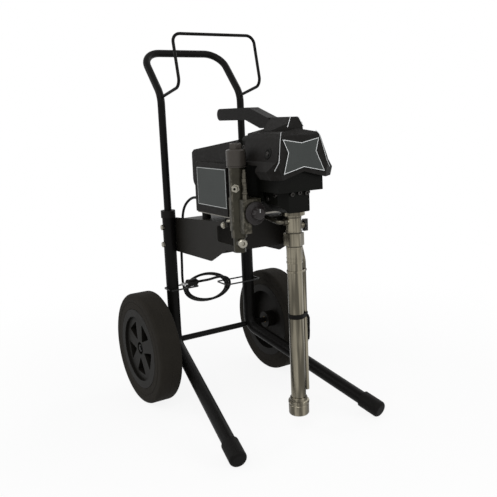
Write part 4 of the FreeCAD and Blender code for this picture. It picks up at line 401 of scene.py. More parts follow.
finishes = {
    "powderCoat": dict(color=(0.0036, 0.0033, 0.0030), roughness=0.42, specular=0.07, grain=700, bump=0.05,
                       mottle=0.2),
    "bracketCoat": dict(color=(0.0092, 0.0083, 0.0068), roughness=0.5, specular=0.1, grain=600, bump=0.14,
                        mottle=0.3),
    "coverPlastic": dict(color=(0.0062, 0.0055, 0.0048), roughness=0.46, specular=0.07, grain=1400,
                         bump=0.2, mottle=0.25, wear=0.1, bare=(0.06, 0.06, 0.06)),
    "gripPlastic": dict(color=(0.0068, 0.0062, 0.0058), roughness=0.5, specular=0.08, grain=1200,
                        bump=0.25),
    "knobPlastic": dict(color=(0.017, 0.0142, 0.0142), roughness=0.4, specular=0.22, grain=900, bump=0.2),
    "glossPlastic": dict(color=(0.004, 0.004, 0.004), roughness=0.22, specular=0.25, grain=500, bump=0.05),
    "tyreRubber": dict(color=(0.016, 0.0142, 0.0115), roughness=0.85, specular=0.08, grain=420, bump=0.45,
                       mottle=0.35, mottleScale=22.0),
    "hubPlastic": dict(color=(0.0058, 0.0052, 0.0042), roughness=0.55, specular=0.08, grain=700, bump=0.15,
                       mottle=0.3),
    "softRubber": dict(color=(0.0045, 0.0042, 0.0038), roughness=0.6, specular=0.08, grain=800, bump=0.2,
                       mottle=0.3),
    "cordSheath": dict(color=(0.0035, 0.0034, 0.0032), roughness=0.42, specular=0.10, grain=900, bump=0.1),
    "zincPlate": dict(color=(0.3, 0.285, 0.24), roughness=0.36, metallic=1.0, grain=260, bump=0.16,
                      mottle=0.55, mottleScale=90.0),
    "darkZinc": dict(color=(0.085, 0.078, 0.062), roughness=0.4, metallic=1.0, grain=260, bump=0.2,
                     mottle=0.6, mottleScale=60.0),
    # nickel plate: the streaks in its base colour are partly painted reflection
    "nickelPlate": dict(color=(0.165, 0.150, 0.115), roughness=0.27, metallic=1.0, reflectionStreaks=0.6, bump=0.10),
    "blackOxide": dict(color=(0.030, 0.028, 0.026), roughness=0.35, metallic=0.8, grain=300, bump=0.1),
    "groundSteel": dict(color=(0.40, 0.40, 0.40), roughness=0.3, metallic=1.0, grain=300, bump=0.08),
    "blackEnamel": dict(color=(0.003, 0.0031, 0.0024), roughness=0.4, specular=0.06, grain=320, bump=0.3,
                        mottle=0.35),
    "castAluminium": dict(color=(0.22, 0.21, 0.19), roughness=0.5, metallic=1.0, grain=340, bump=0.5,
                          mottle=0.3),
    "bronzeEnamel": dict(color=(0.03, 0.0275, 0.019), roughness=0.34, metallic=0.55, specular=0.25,
                         grain=300, bump=0.3, mottle=0.55, mottleScale=36.0, wear=0.35,
                         bare=(0.22, 0.2, 0.16)),
    "capEnamel": dict(color=(0.04, 0.035, 0.03), roughness=0.34, metallic=0.2, specular=0.25, grain=400,
                      bump=0.2, mottle=0.3),
    "platePrint": dict(color=(0.041, 0.045, 0.043), roughness=0.42, specular=0.08, grain=1600, bump=0.06,
                       mottle=0.3, mottleScale=9.0),
    "silverLine": dict(color=(0.45, 0.46, 0.46), roughness=0.32, metallic=0.4, grain=700, bump=0.05),
    "coreIron": dict(color=(0.12, 0.11, 0.10), roughness=0.55, metallic=0.6, grain=500, bump=0.3),
    "ferrite": dict(color=(0.05, 0.05, 0.05), roughness=0.7, grain=500, bump=0.3),
    "turnedBronze": dict(color=(0.45, 0.31, 0.14), roughness=0.35, metallic=1.0, grain=60,
                         lines=(30, 1, 1)),
    "oiledLeather": dict(color=(0.20, 0.12, 0.06), roughness=0.7, grain=300, bump=0.5),
    "solderMask": dict(color=(0.012, 0.07, 0.03), roughness=0.35, grain=200, bump=0.1, coat=0.3),
}
materials = {name: makeFinish(name, **values) for name, values in finishes.items()}

slotFinish = {
    "frame_paint": "powderCoat", "bracket_paint": "bracketCoat", "cover_plastic": "coverPlastic",
    "grip_plastic": "gripPlastic", "knob_plastic": "knobPlastic", "switch_plastic": "glossPlastic",
    "tyre_rubber": "tyreRubber", "hub_plastic": "hubPlastic", "soft_rubber": "softRubber",
    "cord_rubber": "cordSheath", "zinc_steel": "zincPlate", "plated_steel": "nickelPlate",
    "plain_steel": "groundSteel", "casting_black": "blackEnamel", "casting_aluminium": "castAluminium",
    "casting_bronze": "bronzeEnamel", "cap_enamel": "capEnamel", "plate_print": "platePrint",
    "core_iron": "coreIron", "magnet_ferrite": "ferrite", "bush_bronze": "turnedBronze",
    "packing_leather": "oiledLeather", "board_laminate": "solderMask",
}
# nodes that look otherwise than the rest of their slot
finishChanges = {"wheel_axle": "powderCoat", "axle_fasteners": "powderCoat", "outlet_pipe": "darkZinc"}
nodeFinish = {part["node"]: slotFinish[part["material_slot"]] for part in frame["record"]["subparts"]}


def paint(piece, finish):
    piece.data.materials.clear()
    piece.data.materials.append(materials[finish])


for nodeName, node in frame["nodes"].items():
    for materialSlot in node.material_slots:
        materialSlot.material = materials[nodeFinish[nodeName]]
for nodeName, finish in finishChanges.items():
    for materialSlot in frame["nodes"][nodeName].material_slots:
        materialSlot.material = materials[finish]
paint(mainsCord, "cordSheath")
print("materials made:", len(materials))


# softened edges on the CAD pieces: width in metres, lowest angle in degrees
edgeSoftening = {
    "front_cover": (0.0030, 12), "motor_shroud": (0.0040, 12), "control_box": (0.0022, 25),
    "front_housing": (0.0030, 14), "drive_housing": (0.0012, 30), "motor_base": (0.0010, 30),
    "carry_handle": (0.0052, 40), "mounting_bracket": (0.0006, 50), "filter_housing": (0.0015, 35),
    "prime_valve_body": (0.0012, 35), "bracket_bolts": (0.0006, 25), "axle_fasteners": (0.0006, 35),
    "hose_outlet": (0.0005, 35), "pump_nuts": (0.0008, 35),
    "left_wheel_hub": (0.0015, 35), "right_wheel_hub": (0.0015, 35),
    "prime_valve_knob": (0.0015, 35), "rubber_mounts": (0.0008, 35),
    "outlet_pipe": (0.0006, 35), "power_switch": (0.0008, 30),
}


def softenEdges(node, width, angle):
    merge = node.modifiers.new("mergeFlats", "DECIMATE")
    merge.decimate_type = "DISSOLVE"
    merge.angle_limit = math.radians(1.5)
    bevel = node.modifiers.new("softEdges", "BEVEL")
    bevel.width = width
    bevel.segments = 3
    bevel.limit_method = "ANGLE"
    bevel.angle_limit = math.radians(angle)
    bevel.use_clamp_overlap = True
    smooth = node.modifiers.new("evenShade", "WEIGHTED_NORMAL")
    smooth.keep_sharp = True


for nodeName, (width, angle) in edgeSoftening.items():
    softenEdges(frame["nodes"][nodeName], width, angle)
print("edges softened on", len(edgeSoftening), "pieces")


# helpers for the pieces made here, which are all given in millimetres
def formRadius(radius, angle, form):
    # a hexagon by its corner radius, or (count, depth) of flutes
    if form == "hex":
        return radius * math.cos(math.pi / 6) / math.cos(angle % (math.pi / 3) - math.pi / 6)
    count, depth = form
    return radius - depth * (0.5 - 0.5 * math.cos(count * angle))


def turned(rings, around=48):
    # rings of (radius, height) or (radius, height, form) round the z axis, in millimetres
    points, faces, loops = [], [], []
    for ring in rings:
        radius, height = ring[:2]
        if radius == 0:
            loops.append([len(points)] * around)
            points.append((0, 0, height))
            continue
        loops.append(list(range(len(points), len(points) + around)))
        for step in range(around):
            angle = 2 * math.pi * step / around
            reach = formRadius(radius, angle, ring[2]) if len(ring) > 2 else radius
            points.append((reach * math.cos(angle), reach * math.sin(angle), height))
    for low, high in zip(loops, loops[1:]):
        for step in range(around):
            after = (step + 1) % around
            corners = [low[step], low[after], high[after], high[step]]
            face = list(dict.fromkeys(corners))
            if len(face) > 2:
                faces.append(face)
    return points, faces


def placed(form, base, axis=(0, 0, 1), spin=0.0):
    points, faces = form
    aim = Vector((0, 0, 1)).rotation_difference(Vector(axis)).to_matrix()
    turn = aim @ Matrix.Rotation(math.radians(spin), 3, "Z")
    return [turn @ Vector(point) + Vector(base) for point in points], faces


def block(low, high):
    sides = list(zip(low, high))
    corners = [(x, y, z) for x in sides[0] for y in sides[1] for z in sides[2]]
    faces = [(0, 1, 3, 2), (4, 6, 7, 5), (0, 4, 5, 1), (2, 3, 7, 6), (0, 2, 6, 4), (1, 5, 7, 3)]
    return [Vector(corner) for corner in corners], faces


def bead(route, radius, around=10, lumps=0.0, closed=False):
    # round bead along a polyline, its thickness lumpy by a share of the radius
    points, faces = [], []
    count = len(route)
    for index, place in enumerate(route):
        before = route[index - 1] if index or closed else place
        after = route[(index + 1) % count] if index + 1 < count or closed else place
        ahead = (Vector(after) - Vector(before)).normalized()
        frameTurn = ahead.to_track_quat("Z", "Y").to_matrix()
        size = radius * (1 + lumps * math.sin(2.4 * index))
        for step in range(around):
            angle = 2 * math.pi * step / around
            arm = Vector((size * math.cos(angle), size * math.sin(angle), 0))
            points.append(Vector(place) + frameTurn @ arm)
    spans = count if closed else count - 1
    for index in range(spans):
        low, high = index * around, (index + 1) % count * around
        for step in range(around):
            after = (step + 1) % around
            faces.append((low + step, low + after, high + after, high + step))
    if not closed:
        faces.append(tuple(reversed(range(around))))
        faces.append(tuple(range(len(points) - around, len(points))))
    return points, faces


def inset(corners, distance):
    # corners of a plane outline moved inwards, counter-clockwise round
    moved = []
    count = len(corners)
    for index, corner in enumerate(corners):
        here = Vector(corner)
        back = (here - Vector(corners[index - 1])).normalized()
        ahead = (Vector(corners[(index + 1) % count]) - here).normalized()
        backNormal = Vector((-back.y, back.x))
        aheadNormal = Vector((-ahead.y, ahead.x))
        middle = (backNormal + aheadNormal).normalized()
        moved.append(here + middle * (distance / middle.dot(backNormal)))
    return moved


def borderBand(corners, margin, width, rise, toSpace):
    # raised band inside the outline of a plate; toSpace puts (u, v, height) into space
    outer = inset(corners, margin)
    inner = inset(corners, margin + width)
    count = len(corners)
    points = []
    for ring, height in ((outer, 0.0), (outer, rise), (inner, rise), (inner, 0.0)):
        points += [toSpace(u, v, height) for u, v in ring]
    faces = []
    for low in range(3):
        for index in range(count):
            after = (index + 1) % count
            start, end = low * count, (low + 1) * count
            faces.append((start + index, start + after, end + after, end + index))
    return points, faces


def mirroredForm(form):
    points, faces = form
    mirrored = [Vector((-point[0], point[1], point[2])) for point in points]
    return mirrored, [tuple(reversed(face)) for face in faces]


def addPiece(name, forms, body, finish, replaced=(), sharp=32):
    # one object from forms given in millimetres in the CAD frame
    points, faces = [], []
    for formPoints, formFaces in forms:
        start = len(points)
        points += [Vector(point) * millimetre for point in formPoints]
        faces += [[start + corner for corner in face] for face in formFaces]
    mesh = bpy.data.meshes.new(name)
    mesh.from_pydata(points, [], faces)
    mesh.validate()
    build = bmesh.new()
    build.from_mesh(mesh)
    bmesh.ops.recalc_face_normals(build, faces=build.faces)
    build.to_mesh(mesh)
    build.free()
    mesh.shade_smooth()
    mesh.set_sharp_from_angle(angle=math.radians(sharp))
    piece = linkMesh(name, mesh)
    paint(piece, finish)
    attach(piece, body)
    if replaced:
        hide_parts(*replaced)
    return piece


def capScrew(radius, height, socket):
    # round screw head with a hexagon socket
    return turned([
        (0, height * 0.45), (socket, height * 0.45, "hex"), (socket, height, "hex"), (radius * 0.9, height),
        (radius, height - radius * 0.12), (radius, 0),
    ], around=36)


def hexHead(corner, height, washer):
    # hexagon head or nut on its washer
    return turned([
        (0, height), (corner * 0.80, height), (corner * 0.99, height - corner * 0.12, "hex"),
        (corner, 1.6, "hex"), (washer, 1.5), (washer, 0.2), (washer * 0.97, 0),
    ], around=48)


# tyres with faint mould lines, rounded shoulders and a bead by the hub
tyreShape = {
    "centreX": 205.5,
    "axle": (163.516, 150.0),
    "radius": 150.0,
    "halfWidth": 31.0,
    "rimRadius": 108.0,
    "shoulder": 9.0,
    "wallLine": 127.0,       # radius of the fine line on the side wall
}


def tyreRings(shape):
    half, radius, shoulder = shape["halfWidth"], shape["radius"], shape["shoulder"]
    line = shape["wallLine"]
    side = [
        (shape["rimRadius"], -half + 1.6), (shape["rimRadius"] + 1.4, -half),
        (line - 1.4, -half), (line - 0.7, -half + 0.8), (line + 0.7, -half + 0.8), (line + 1.4, -half),
    ]
    for step in range(7):
        angle = math.radians(15 * step)
        reach = radius - shoulder + shoulder * math.sin(angle)
        side.append((reach, -half + shoulder - shoulder * math.cos(angle)))
    side += [(radius - 0.1, -1.4), (radius - 0.5, -0.7)]
    other = [(reach, -height) for reach, height in reversed(side)]
    return side + other + [side[0]]


def buildTyres(shape):
    rings = tyreRings(shape)
    for side, name in ((-1, "left"), (1, "right")):
        base = (side * shape["centreX"], *shape["axle"])
        form = placed(turned(rings, around=144), base, (side, 0, 0))
        addPiece(
            name + "TyreMoulded", [form], name + "_wheel", "tyreRubber", [name + "_tyre"],
            sharp=28,
        )


buildTyres(tyreShape)
print("tyres built")


# plates: bright borders round the blank faces
plateShape = {
    "labelY": (-121.5, 22.5),
    "labelZ": (545.0, 640.0),
    "labelX": -101.2,
    "badgeRows": ((0.0, 80.0), (-50.6, 89.0), (-39.0, 59.0), (-57.0, 12.0), (0.0, 25.0)),
    "badgeLowZ": 620.0,
    "badgeFaceY": -298.98,
    "badgeSlope": 0.136,
    "labelMargin": 1.2,
    "badgeMargin": 0.8,
    "bandWidth": 1.15,
    "bandRise": 0.35,
}


def buildPlateBorders(shape):
    lowY, highY = shape["labelY"]
    lowZ, highZ = shape["labelZ"]
    band = (shape["bandWidth"], shape["bandRise"])
    label = borderBand(
        [(lowY, lowZ), (highY, lowZ), (highY, highZ), (lowY, highZ)], shape["labelMargin"], *band,
        lambda u, v, height: (shape["labelX"] - height, u, v),
    )
    rows = shape["badgeRows"]
    corners = list(rows) + [(-x, z) for x, z in reversed(rows[1:-1])]

    def badgeSpace(u, v, height):
        return (u, shape["badgeFaceY"] + v * shape["badgeSlope"] - height, shape["badgeLowZ"] + v)

    badge = borderBand(corners, shape["badgeMargin"], *band, badgeSpace)
    addPiece("labelBorder", [label], "cart", "silverLine")
    addPiece("badgeBorder", [badge], "cart", "silverLine")


buildPlateBorders(plateShape)


# front cover: bright trim beads on the edges, screw seats on both cheeks
coverTrim = {
    "hoodEdge": [(-10.3, -263.4, 755.0), (-15.4, -264.9, 744.5), (-21.3, -266.6, 733.5)],
    "faceEdge": [(-46.5, -278.0, 724.0), (-51.4, -282.9, 717.0), (-56.5, -286.4, 698.0),
                 (-60.6, -289.6, 677.8), (-64.3, -291.9, 659.6), (-74.9, -289.2, 641.3)],
    "beadRadius": 0.75,
    "beadLift": 0.9,       # how far the beads are moved outwards from the edges above
    "seatPlace": (-66.1, -251.5, 677.5),
    "seatAxis": (-0.96, 0, 0.28),
    "seatRings": [(0, 0.3), (6.2, 0.3), (8.2, 1.3), (10.6, 1.5), (12.6, 0.9), (13.2, -0.6)],
    "screw": (4.6, 1.9, 2.4),       # head radius, height and socket
}


def buildCoverTrim(trim):
    lift = trim["beadLift"]
    beads = []
    for edge in (trim["hoodEdge"], trim["faceEdge"]):
        beads.append(bead([(x - lift, y - lift, z) for x, y, z in edge], trim["beadRadius"]))
    beads += [mirroredForm(form) for form in beads]
    addPiece("coverEdgeTrim", beads, "cart", "silverLine")
    seat = placed(turned(trim["seatRings"]), trim["seatPlace"], trim["seatAxis"])
    screw = placed(capScrew(*trim["screw"]), trim["seatPlace"], trim["seatAxis"])
    addPiece("coverScrewSeats", [seat, mirroredForm(seat)], "cart", "blackEnamel")
    addPiece("coverScrews", [screw, mirroredForm(screw)], "cart", "blackOxide")


buildCoverTrim(coverTrim)


# castings: cap screws on the front housing and the drive housing, as (place, direction)
castingScrews = {
    "frontHousing": [
        ((-20.5, -273.5, 584.5), (0, -1, 0)),
        ((0.0, -273.5, 586.5), (0, -1, 0)),
        ((19.5, -273.5, 584.5), (0, -1, 0)),
        ((44.0, -246.0, 583.0), (1, 0, 0)),
        ((-44.0, -246.0, 583.0), (-1, 0, 0)),
        ((44.0, -216.0, 572.0), (1, 0, 0)),
        ((-44.0, -216.0, 572.0), (-1, 0, 0)),
    ],
    "driveHousing": [
        ((56.0, -140.0, 690.0), (1, 0, 0)),
        ((56.0, -140.0, 585.0), (1, 0, 0)),
        ((-56.0, -140.0, 690.0), (-1, 0, 0)),
    ],
    "frontScrew": (5.2, 4.6, 2.9),       # head radius, height and socket
    "driveScrew": (4.6, 4.0, 2.5),
}


def buildCastingScrews(screws):
    forms = [placed(capScrew(*screws["frontScrew"]), *seat) for seat in screws["frontHousing"]]
    forms += [placed(capScrew(*screws["driveScrew"]), *seat) for seat in screws["driveHousing"]]
    addPiece("castingCapScrews", forms, "cart", "blackOxide")


buildCastingScrews(castingScrews)
print("cover and castings dressed")


# filter column: cap with a bar across its recess, port plug and stepped pressure sensor
columnShape = {
    "capBase": (-96.0, -163.984, 646.0),
    "capRings": [
        (0, 50.5), (7.6, 50.5), (8.2, 55.0), (12.6, 55.0), (15.0, 53.6, "hex"), (15.6, 52.0, "hex"),
        (15.6, 42.0, "hex"), (20.6, 41.0), (23.0, 38.8), (23.0, 4.6), (22.1, 3.9), (22.1, 2.9),
        (23.0, 2.2), (23.0, 0.6), (22.4, 0), (13.4, 0),
    ],
    "capBar": ((-7.4, -1.2, 50.3), (7.4, 1.2, 53.4)),
    "capBarTurn": 35,
    "plugBase": (-99.63, -182.64, 471.0),
    "plugAxis": (-0.1908, -0.9816, 0),
    "plugTurn": 12,
    "plugRings": [
        (0, 2.4), (4.6, 2.4, "hex"), (4.6, 6.4, "hex"), (5.0, 7.0, "hex"), (8.4, 7.0), (10.4, 5.6),
        (10.9, 4.0), (10.9, 0),
    ],
    "sensorBase": (-92.5, -191.984, 574.0),
    "sensorTurn": 18,
    "sensorRings": [
        (0, 0), (8.0, 0, "hex"), (8.0, 9.4, "hex"), (7.2, 10.2), (5.9, 10.6), (5.9, 11.8), (7.4, 12.6),
        (7.4, 16.4), (6.5, 17.0), (6.5, 22.0), (6.0, 22.6), (6.5, 23.2), (6.5, 28.0), (6.0, 28.6),
        (6.5, 29.2), (6.5, 37.2), (5.8, 38.0), (8.0, 38.8, "hex"), (8.0, 47.2, "hex"), (6.4, 48.0),
        (5.5, 48.6), (5.5, 60.4), (4.5, 61.6), (4.5, 66.8), (3.6, 68.0), (0, 68.0),
    ],
}


def buildColumnPieces(shape):
    cap = placed(turned(shape["capRings"], around=72), shape["capBase"])
    bar = placed(block(*shape["capBar"]), shape["capBase"], spin=shape["capBarTurn"])
    addPiece("filterCapTurned", [cap, bar], "cart", "capEnamel", ["filter_cap"])
    plug = placed(
        turned(shape["plugRings"], around=72), shape["plugBase"], shape["plugAxis"], shape["plugTurn"],
    )
    addPiece("columnPlug", [plug], "cart", "zincPlate", ["port_plugs"])
    sensor = placed(turned(shape["sensorRings"]), shape["sensorBase"], spin=shape["sensorTurn"])
    addPiece("columnSensor", [sensor], "cart", "darkZinc")


buildColumnPieces(columnShape)


# pressure knob: shaft hole, skirt with fine teeth, fluted grip and a light line
knobShape = {
    "base": (-74.0, -202.484, 541.0),
    "axis": (0, -1, 0),
    "rings": [
        (0, 14.2), (4.06, 14.2), (4.06, 0.0), (25.6, 0.0), (27.0, 1.0, (60, 0.8)), (27.0, 3.0, (60, 0.8)),
        (25.8, 4.0), (17.0, 4.6), (15.2, 6.0, (10, 1.4)), (14.4, 19.6, (10, 1.6)), (13.4, 21.4, (10, 1.0)),
        (12.2, 22.0), (9.6, 21.4), (0, 21.4),
    ],
    "line": ((-0.7, 3.0, 21.4), (0.7, 12.0, 21.95)),
}


def buildPressureKnob(shape):
    seat = (shape["base"], shape["axis"])
    addPiece(
        "pressureKnobFluted", [placed(turned(shape["rings"], around=240), *seat)],
        "pressure_knob", "knobPlastic", ["pressure_knob"], sharp=40,
    )
    line = placed(block(*shape["line"]), *seat)
    addPiece("pressureKnobMark", [line], "pressure_knob", "silverLine")


buildPressureKnob(knobShape)


# inlet strainer: rolled collar over a faintly ribbed cup
ribs = (24, 0.5)       # count and depth
strainerShape = {
    "base": (0.0, -248.484, 49.0),
    "rings": [
        (0, 3.0), (17.6, 3.0), (17.6, 0.0), (20.5, 0.0), (22.6, 1.0), (24.3, 3.4), (24.6, 6.0, ribs),
        (24.8, 22.0, ribs), (24.6, 25.0), (23.8, 26.0), (23.8, 27.6), (24.8, 28.6), (25.5, 30.4),
        (25.5, 33.8), (24.6, 35.8), (22.4, 37.0), (21.0, 38.0), (21.0, 42.6), (20.2, 44.0),
        (18.05, 44.0), (18.05, 37.2),
    ],
}


def buildStrainer(shape):
    cup = placed(turned(shape["rings"], around=192), shape["base"])
    addPiece("strainerCup", [cup], "cart", "nickelPlate", ["inlet_strainer"], sharp=30)


buildStrainer(strainerShape)


# pump: dark joints and turned lips where its sections meet, as (low z, high z, radius)
pumpJoints = {
    "axis": (0.0, -248.484, 0.0),
    "dark": [(492.0, 494.6, 18.95), (460.0, 463.0, 18.9), (527.4, 530.4, 18.9)],
    "bright": [(494.6, 497.0, 19.2), (455.5, 460.0, 19.0), (421.0, 425.0, 19.3), (433.0, 434.4, 19.0)],
    "innerRadius": 17.6,
    "chamfer": 0.3,
}


def buildPumpJoints(joints):
    inner, chamfer = joints["innerRadius"], joints["chamfer"]
    for name, finish in (("dark", "darkZinc"), ("bright", "nickelPlate")):
        forms = []
        for low, high, radius in joints[name]:
            ring = turned([
                (inner, low), (radius - chamfer, low), (radius, low + chamfer),
                (radius, high - chamfer), (radius - chamfer, high), (inner, high),
            ])
            forms.append(placed(ring, joints["axis"]))
        addPiece(name + "PumpRings", forms, "cart", finish)


buildPumpJoints(pumpJoints)
print("pump and fluid section dressed")


# straps round the suction and drain tubes: a bright one above, a black one below
strapShape = {
    "tubes": ((0.0, -248.484, 18.0), (24.9, -248.484, 6.0)),     # x, y and radius of each tube
    "clearance": 0.05,
    "thickness": 1.5,
    "rim": 0.3,
    "corners": 96,
    "lowerZ": (288.6, 299.4),
    "upperZ": (399.0, 404.0),
    "tail": [(29.0, -254.6, 291.0), (33.2, -253.0, 283.0), (34.3, -251.6, 268.0), (34.3, -251.0, 250.0),
             (33.6, -251.0, 238.0), (32.0, -251.0, 229.0)],
    "tailRadius": 2.4,
}


def strapOutline(shape, offset):
    outline = []
    for step in range(shape["corners"]):
        angle = 2 * math.pi * step / shape["corners"]
        across, along = math.cos(angle), math.sin(angle)
        x, y, radius = max(
            shape["tubes"], key=lambda tube: tube[0] * across + tube[1] * along + tube[2],
        )
        outline.append((x + (radius + offset) * across, y + (radius + offset) * along))
    return outline


def strapBand(shape, low, high):
    outer = strapOutline(shape, shape["thickness"])
    inner = strapOutline(shape, shape["clearance"])
    count = len(outer)
    rim = shape["rim"]
    soft = strapOutline(shape, shape["thickness"] - rim)
    rings = (
        (inner, low), (soft, low), (outer, low + rim),
        (outer, high - rim), (soft, high), (inner, high),
    )
    points = [(x, y, height) for ring, height in rings for x, y in ring]
    faces = []
    for ring in range(len(rings)):
        start, end = ring * count, (ring + 1) % len(rings) * count
        for corner in range(count):
            after = (corner + 1) % count
            faces.append((start + corner, start + after, end + after, end + corner))
    return points, faces


def buildStraps(shape):
    lower = strapBand(shape, *shape["lowerZ"])
    tail = bead(shape["tail"], shape["tailRadius"], around=16)
    addPiece("blackStrap", [lower, tail], "cart", "softRubber", ["tube_clips"], sharp=40)
    upper = strapBand(shape, *shape["upperZ"])
    addPiece("brightStrap", [upper], "cart", "nickelPlate")


buildStraps(strapShape)


# bracket: a bolt on the left side and a nut on the top face
bracketHardware = {
    "seats": [((-104.7, -107.5, 505.5), (-1, 0, 0)), ((-95.5, -119.5, 514.5), (0, 0, 1))],
    "head": (6.6, 5.0, 8.0),       # corner radius, height and washer radius
    "turn": 20,
}


def buildBracketHardware(hardware):
    forms = []
    for seat in hardware["seats"]:
        forms.append(placed(hexHead(*hardware["head"]), *seat, hardware["turn"]))
    addPiece("bracketBoltAndNut", forms, "cart", "zincPlate")


buildBracketHardware(bracketHardware)


# mains plug: ribbed neck, rounded body and two pins
plugShape = {
    "base": (-55.8, 135.5, 312.7),
    "axis": (-1, 0, 0),
    "neckRings": [(0, -0.2), (3.9, 0.0), (4.5, 0.8)],
    "ribCount": 3,
    "ribStart": 1.6,
    "ribPitch": 1.5,
    "ribRadius": 5.2,
    "ribGrowth": 1.1,       # each rib's radius over the one before
    "bodyRings": [
        (8.6, 6.0), (10.2, 7.2), (10.9, 9.4), (11.0, 12.0), (10.2, 16.0), (9.9, 22.0), (10.4, 28.0),
        (10.9, 31.0), (10.8, 34.6), (10.0, 35.8), (0, 36.0),
    ],
    "pinRings": [(2.4, 35.5), (2.4, 49.4), (1.6, 50.9), (0, 51.0)],
    "pinSpacing": 12.0,
}


def buildPlug(shape):
    rings = list(shape["neckRings"])
    for number in range(shape["ribCount"]):
        start = shape["ribStart"] + number * shape["ribPitch"]
        radius = shape["ribRadius"] + number * shape["ribGrowth"]
        rings += [(radius, start), (radius, start + 0.7), (radius - 0.5, start + 0.9)]
    body = placed(turned(rings + shape["bodyRings"]), shape["base"], shape["axis"])
    plugBody = addPiece("mainsPlugBody", [body], "cart", "cordSheath", ["power_plug"])
    pin = turned(shape["pinRings"], around=24)
    x, y, z = shape["base"]
    pins = []
    for side in (-0.5, 0.5):
        pins.append(placed(pin, (x, y + side * shape["pinSpacing"], z), shape["axis"]))
    plugPins = addPiece("mainsPlugPins", pins, "cart", "groundSteel")
    return plugBody, plugPins


mainsPlug = buildPlug(plugShape)


# weld beads where the rack's wire meets the handle
rackWelds = {
    "places": [(-121.5, 159.0, 819.0), (121.5, 159.0, 819.0)],
    "ringRadius": 4.6,
    "beadRadius": 1.1,
    "axis": (0, 1, 0),
}


def buildRackWelds(welds):
    forms = []
    turn = Vector(welds["axis"]).to_track_quat("Z", "Y").to_matrix()
    for place in welds["places"]:
        route = []
        for step in range(28):
            angle = 2 * math.pi * step / 28
            arm = Vector((welds["ringRadius"] * math.cos(angle), welds["ringRadius"] * math.sin(angle), 0))
            route.append(Vector(place) + turn @ arm)
        forms.append(bead(route, welds["beadRadius"], lumps=0.22, closed=True))
    addPiece("rackWeldBeads", forms, "handle", "powderCoat")



buildRackWelds(rackWelds)
print("small hardware added")


# floor, backdrop and light
studioLook = {
    "floorColor": (0.80, 0.80, 0.80),
    "floorSize": 14.0,
    "floorShadow": 0.12,       # share of the lit floor in what the camera sees near the object
    "fadeFrom": 0.45,          # metres from the middle where the shadowed floor starts to fade
    "fadeTo": 1.5,
    "worldStrength": 0.62,
    # name: (place, size, power, looks at)
    "lamps": {
        "bigSoftLamp": ((-1.7, -2.0, 2.7), 2.0, 42.0, (0, 0, 0.45)),
        "frontLamp": ((1.4, -2.8, 1.4), 1.6, 14.0, (0, 0, 0.45)),
        "rimLamp": ((-2.4, 1.3, 1.9), 1.4, 16.0, (0, 0, 0.5)),
        "sideLamp": ((2.4, 0.6, 1.9), 1.6, 16.0, (0, 0, 0.5)),
    },
}


def addLamps(lamps):
    for name, (place, size, power, target) in lamps.items():
        data = bpy.data.lights.new(name, "AREA")
        data.shape = "DISK"
        data.size = size
        data.energy = power
        lamp = bpy.data.objects.new(name, data)
        bpy.context.scene.collection.objects.link(lamp)
        lamp.location = place
        aim = Vector(target) - Vector(place)
        lamp.rotation_euler = aim.to_track_quat("-Z", "Y").to_euler()


def seenDirectly(tree):
    # 1 for rays from the camera and for what metal and clear pieces mirror or let through
    path = tree.nodes.new("ShaderNodeLightPath")
    seen = mathNode(tree, "MAXIMUM", path.outputs["Is Camera Ray"], path.outputs["Is Glossy Ray"])
    return mathNode(tree, "MAXIMUM", seen, path.outputs["Is Transmission Ray"])


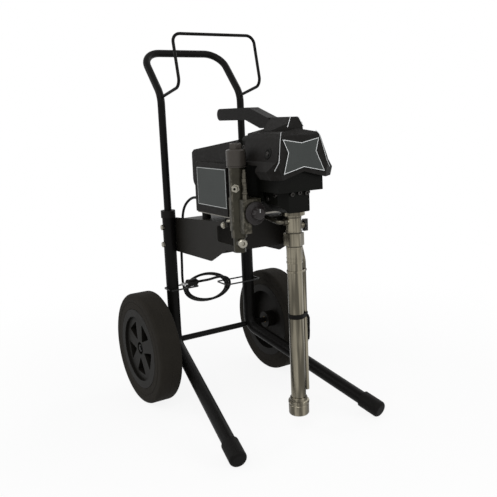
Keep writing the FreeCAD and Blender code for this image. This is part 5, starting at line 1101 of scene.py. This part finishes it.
def addWorld(strength):
    world = bpy.data.worlds.new("paleStudio")
    bpy.context.scene.world = world
    world.use_nodes = True
    tree = world.node_tree
    tree.nodes.clear()
    end = tree.nodes.new("ShaderNodeOutputWorld")
    mix = tree.nodes.new("ShaderNodeMixShader")
    tree.links.new(seenDirectly(tree), mix.inputs["Fac"])
    for slot, level in ((1, strength), (2, 1.0)):
        light = tree.nodes.new("ShaderNodeBackground")
        light.inputs["Color"].default_value = (1, 1, 1, 1)
        light.inputs["Strength"].default_value = level
        tree.links.new(light.outputs["Background"], mix.inputs[slot])
    tree.links.new(mix.outputs["Shader"], end.inputs["Surface"])


def makeFloorFinish(look):
    # lit floor with the object's shadow near the middle, plain white further out
    material = bpy.data.materials.new("paleFloor")
    material.use_nodes = True
    tree = material.node_tree
    shader = tree.nodes["Principled BSDF"]
    shader.inputs["Base Color"].default_value = (*look["floorColor"], 1)
    shader.inputs["Roughness"].default_value = 0.9
    shader.inputs["Specular IOR Level"].default_value = 0.0
    white = tree.nodes.new("ShaderNodeEmission")
    place = tree.nodes.new("ShaderNodeTexCoord")
    distance = tree.nodes.new("ShaderNodeVectorMath")
    distance.operation = "LENGTH"
    tree.links.new(place.outputs["Object"], distance.inputs[0])
    fade = tree.nodes.new("ShaderNodeMapRange")
    fade.interpolation_type = "SMOOTHSTEP"
    fade.inputs["From Min"].default_value = look["fadeFrom"]
    fade.inputs["From Max"].default_value = look["fadeTo"]
    fade.inputs["To Min"].default_value = 1 - look["floorShadow"]
    tree.links.new(distance.outputs["Value"], fade.inputs["Value"])
    share = mathNode(tree, "MULTIPLY", fade.outputs["Result"], seenDirectly(tree))
    mix = tree.nodes.new("ShaderNodeMixShader")
    tree.links.new(share, mix.inputs["Fac"])
    tree.links.new(shader.outputs["BSDF"], mix.inputs[1])
    tree.links.new(white.outputs["Emission"], mix.inputs[2])
    tree.links.new(mix.outputs["Shader"], tree.nodes["Material Output"].inputs["Surface"])
    return material


def addFloor(look):
    half = look["floorSize"] / 2
    mesh = bpy.data.meshes.new("paleFloor")
    corners = [(-half, -half, 0), (half, -half, 0), (half, half, 0), (-half, half, 0)]
    mesh.from_pydata(corners, [], [(0, 1, 2, 3)])
    floor = linkMesh("paleFloor", mesh)
    floor.data.materials.append(makeFloorFinish(look))


bpy.context.scene.view_settings.view_transform = "Standard"
addLamps(studioLook["lamps"])
addWorld(studioLook["worldStrength"])
addFloor(studioLook)
print("floor and lights placed")
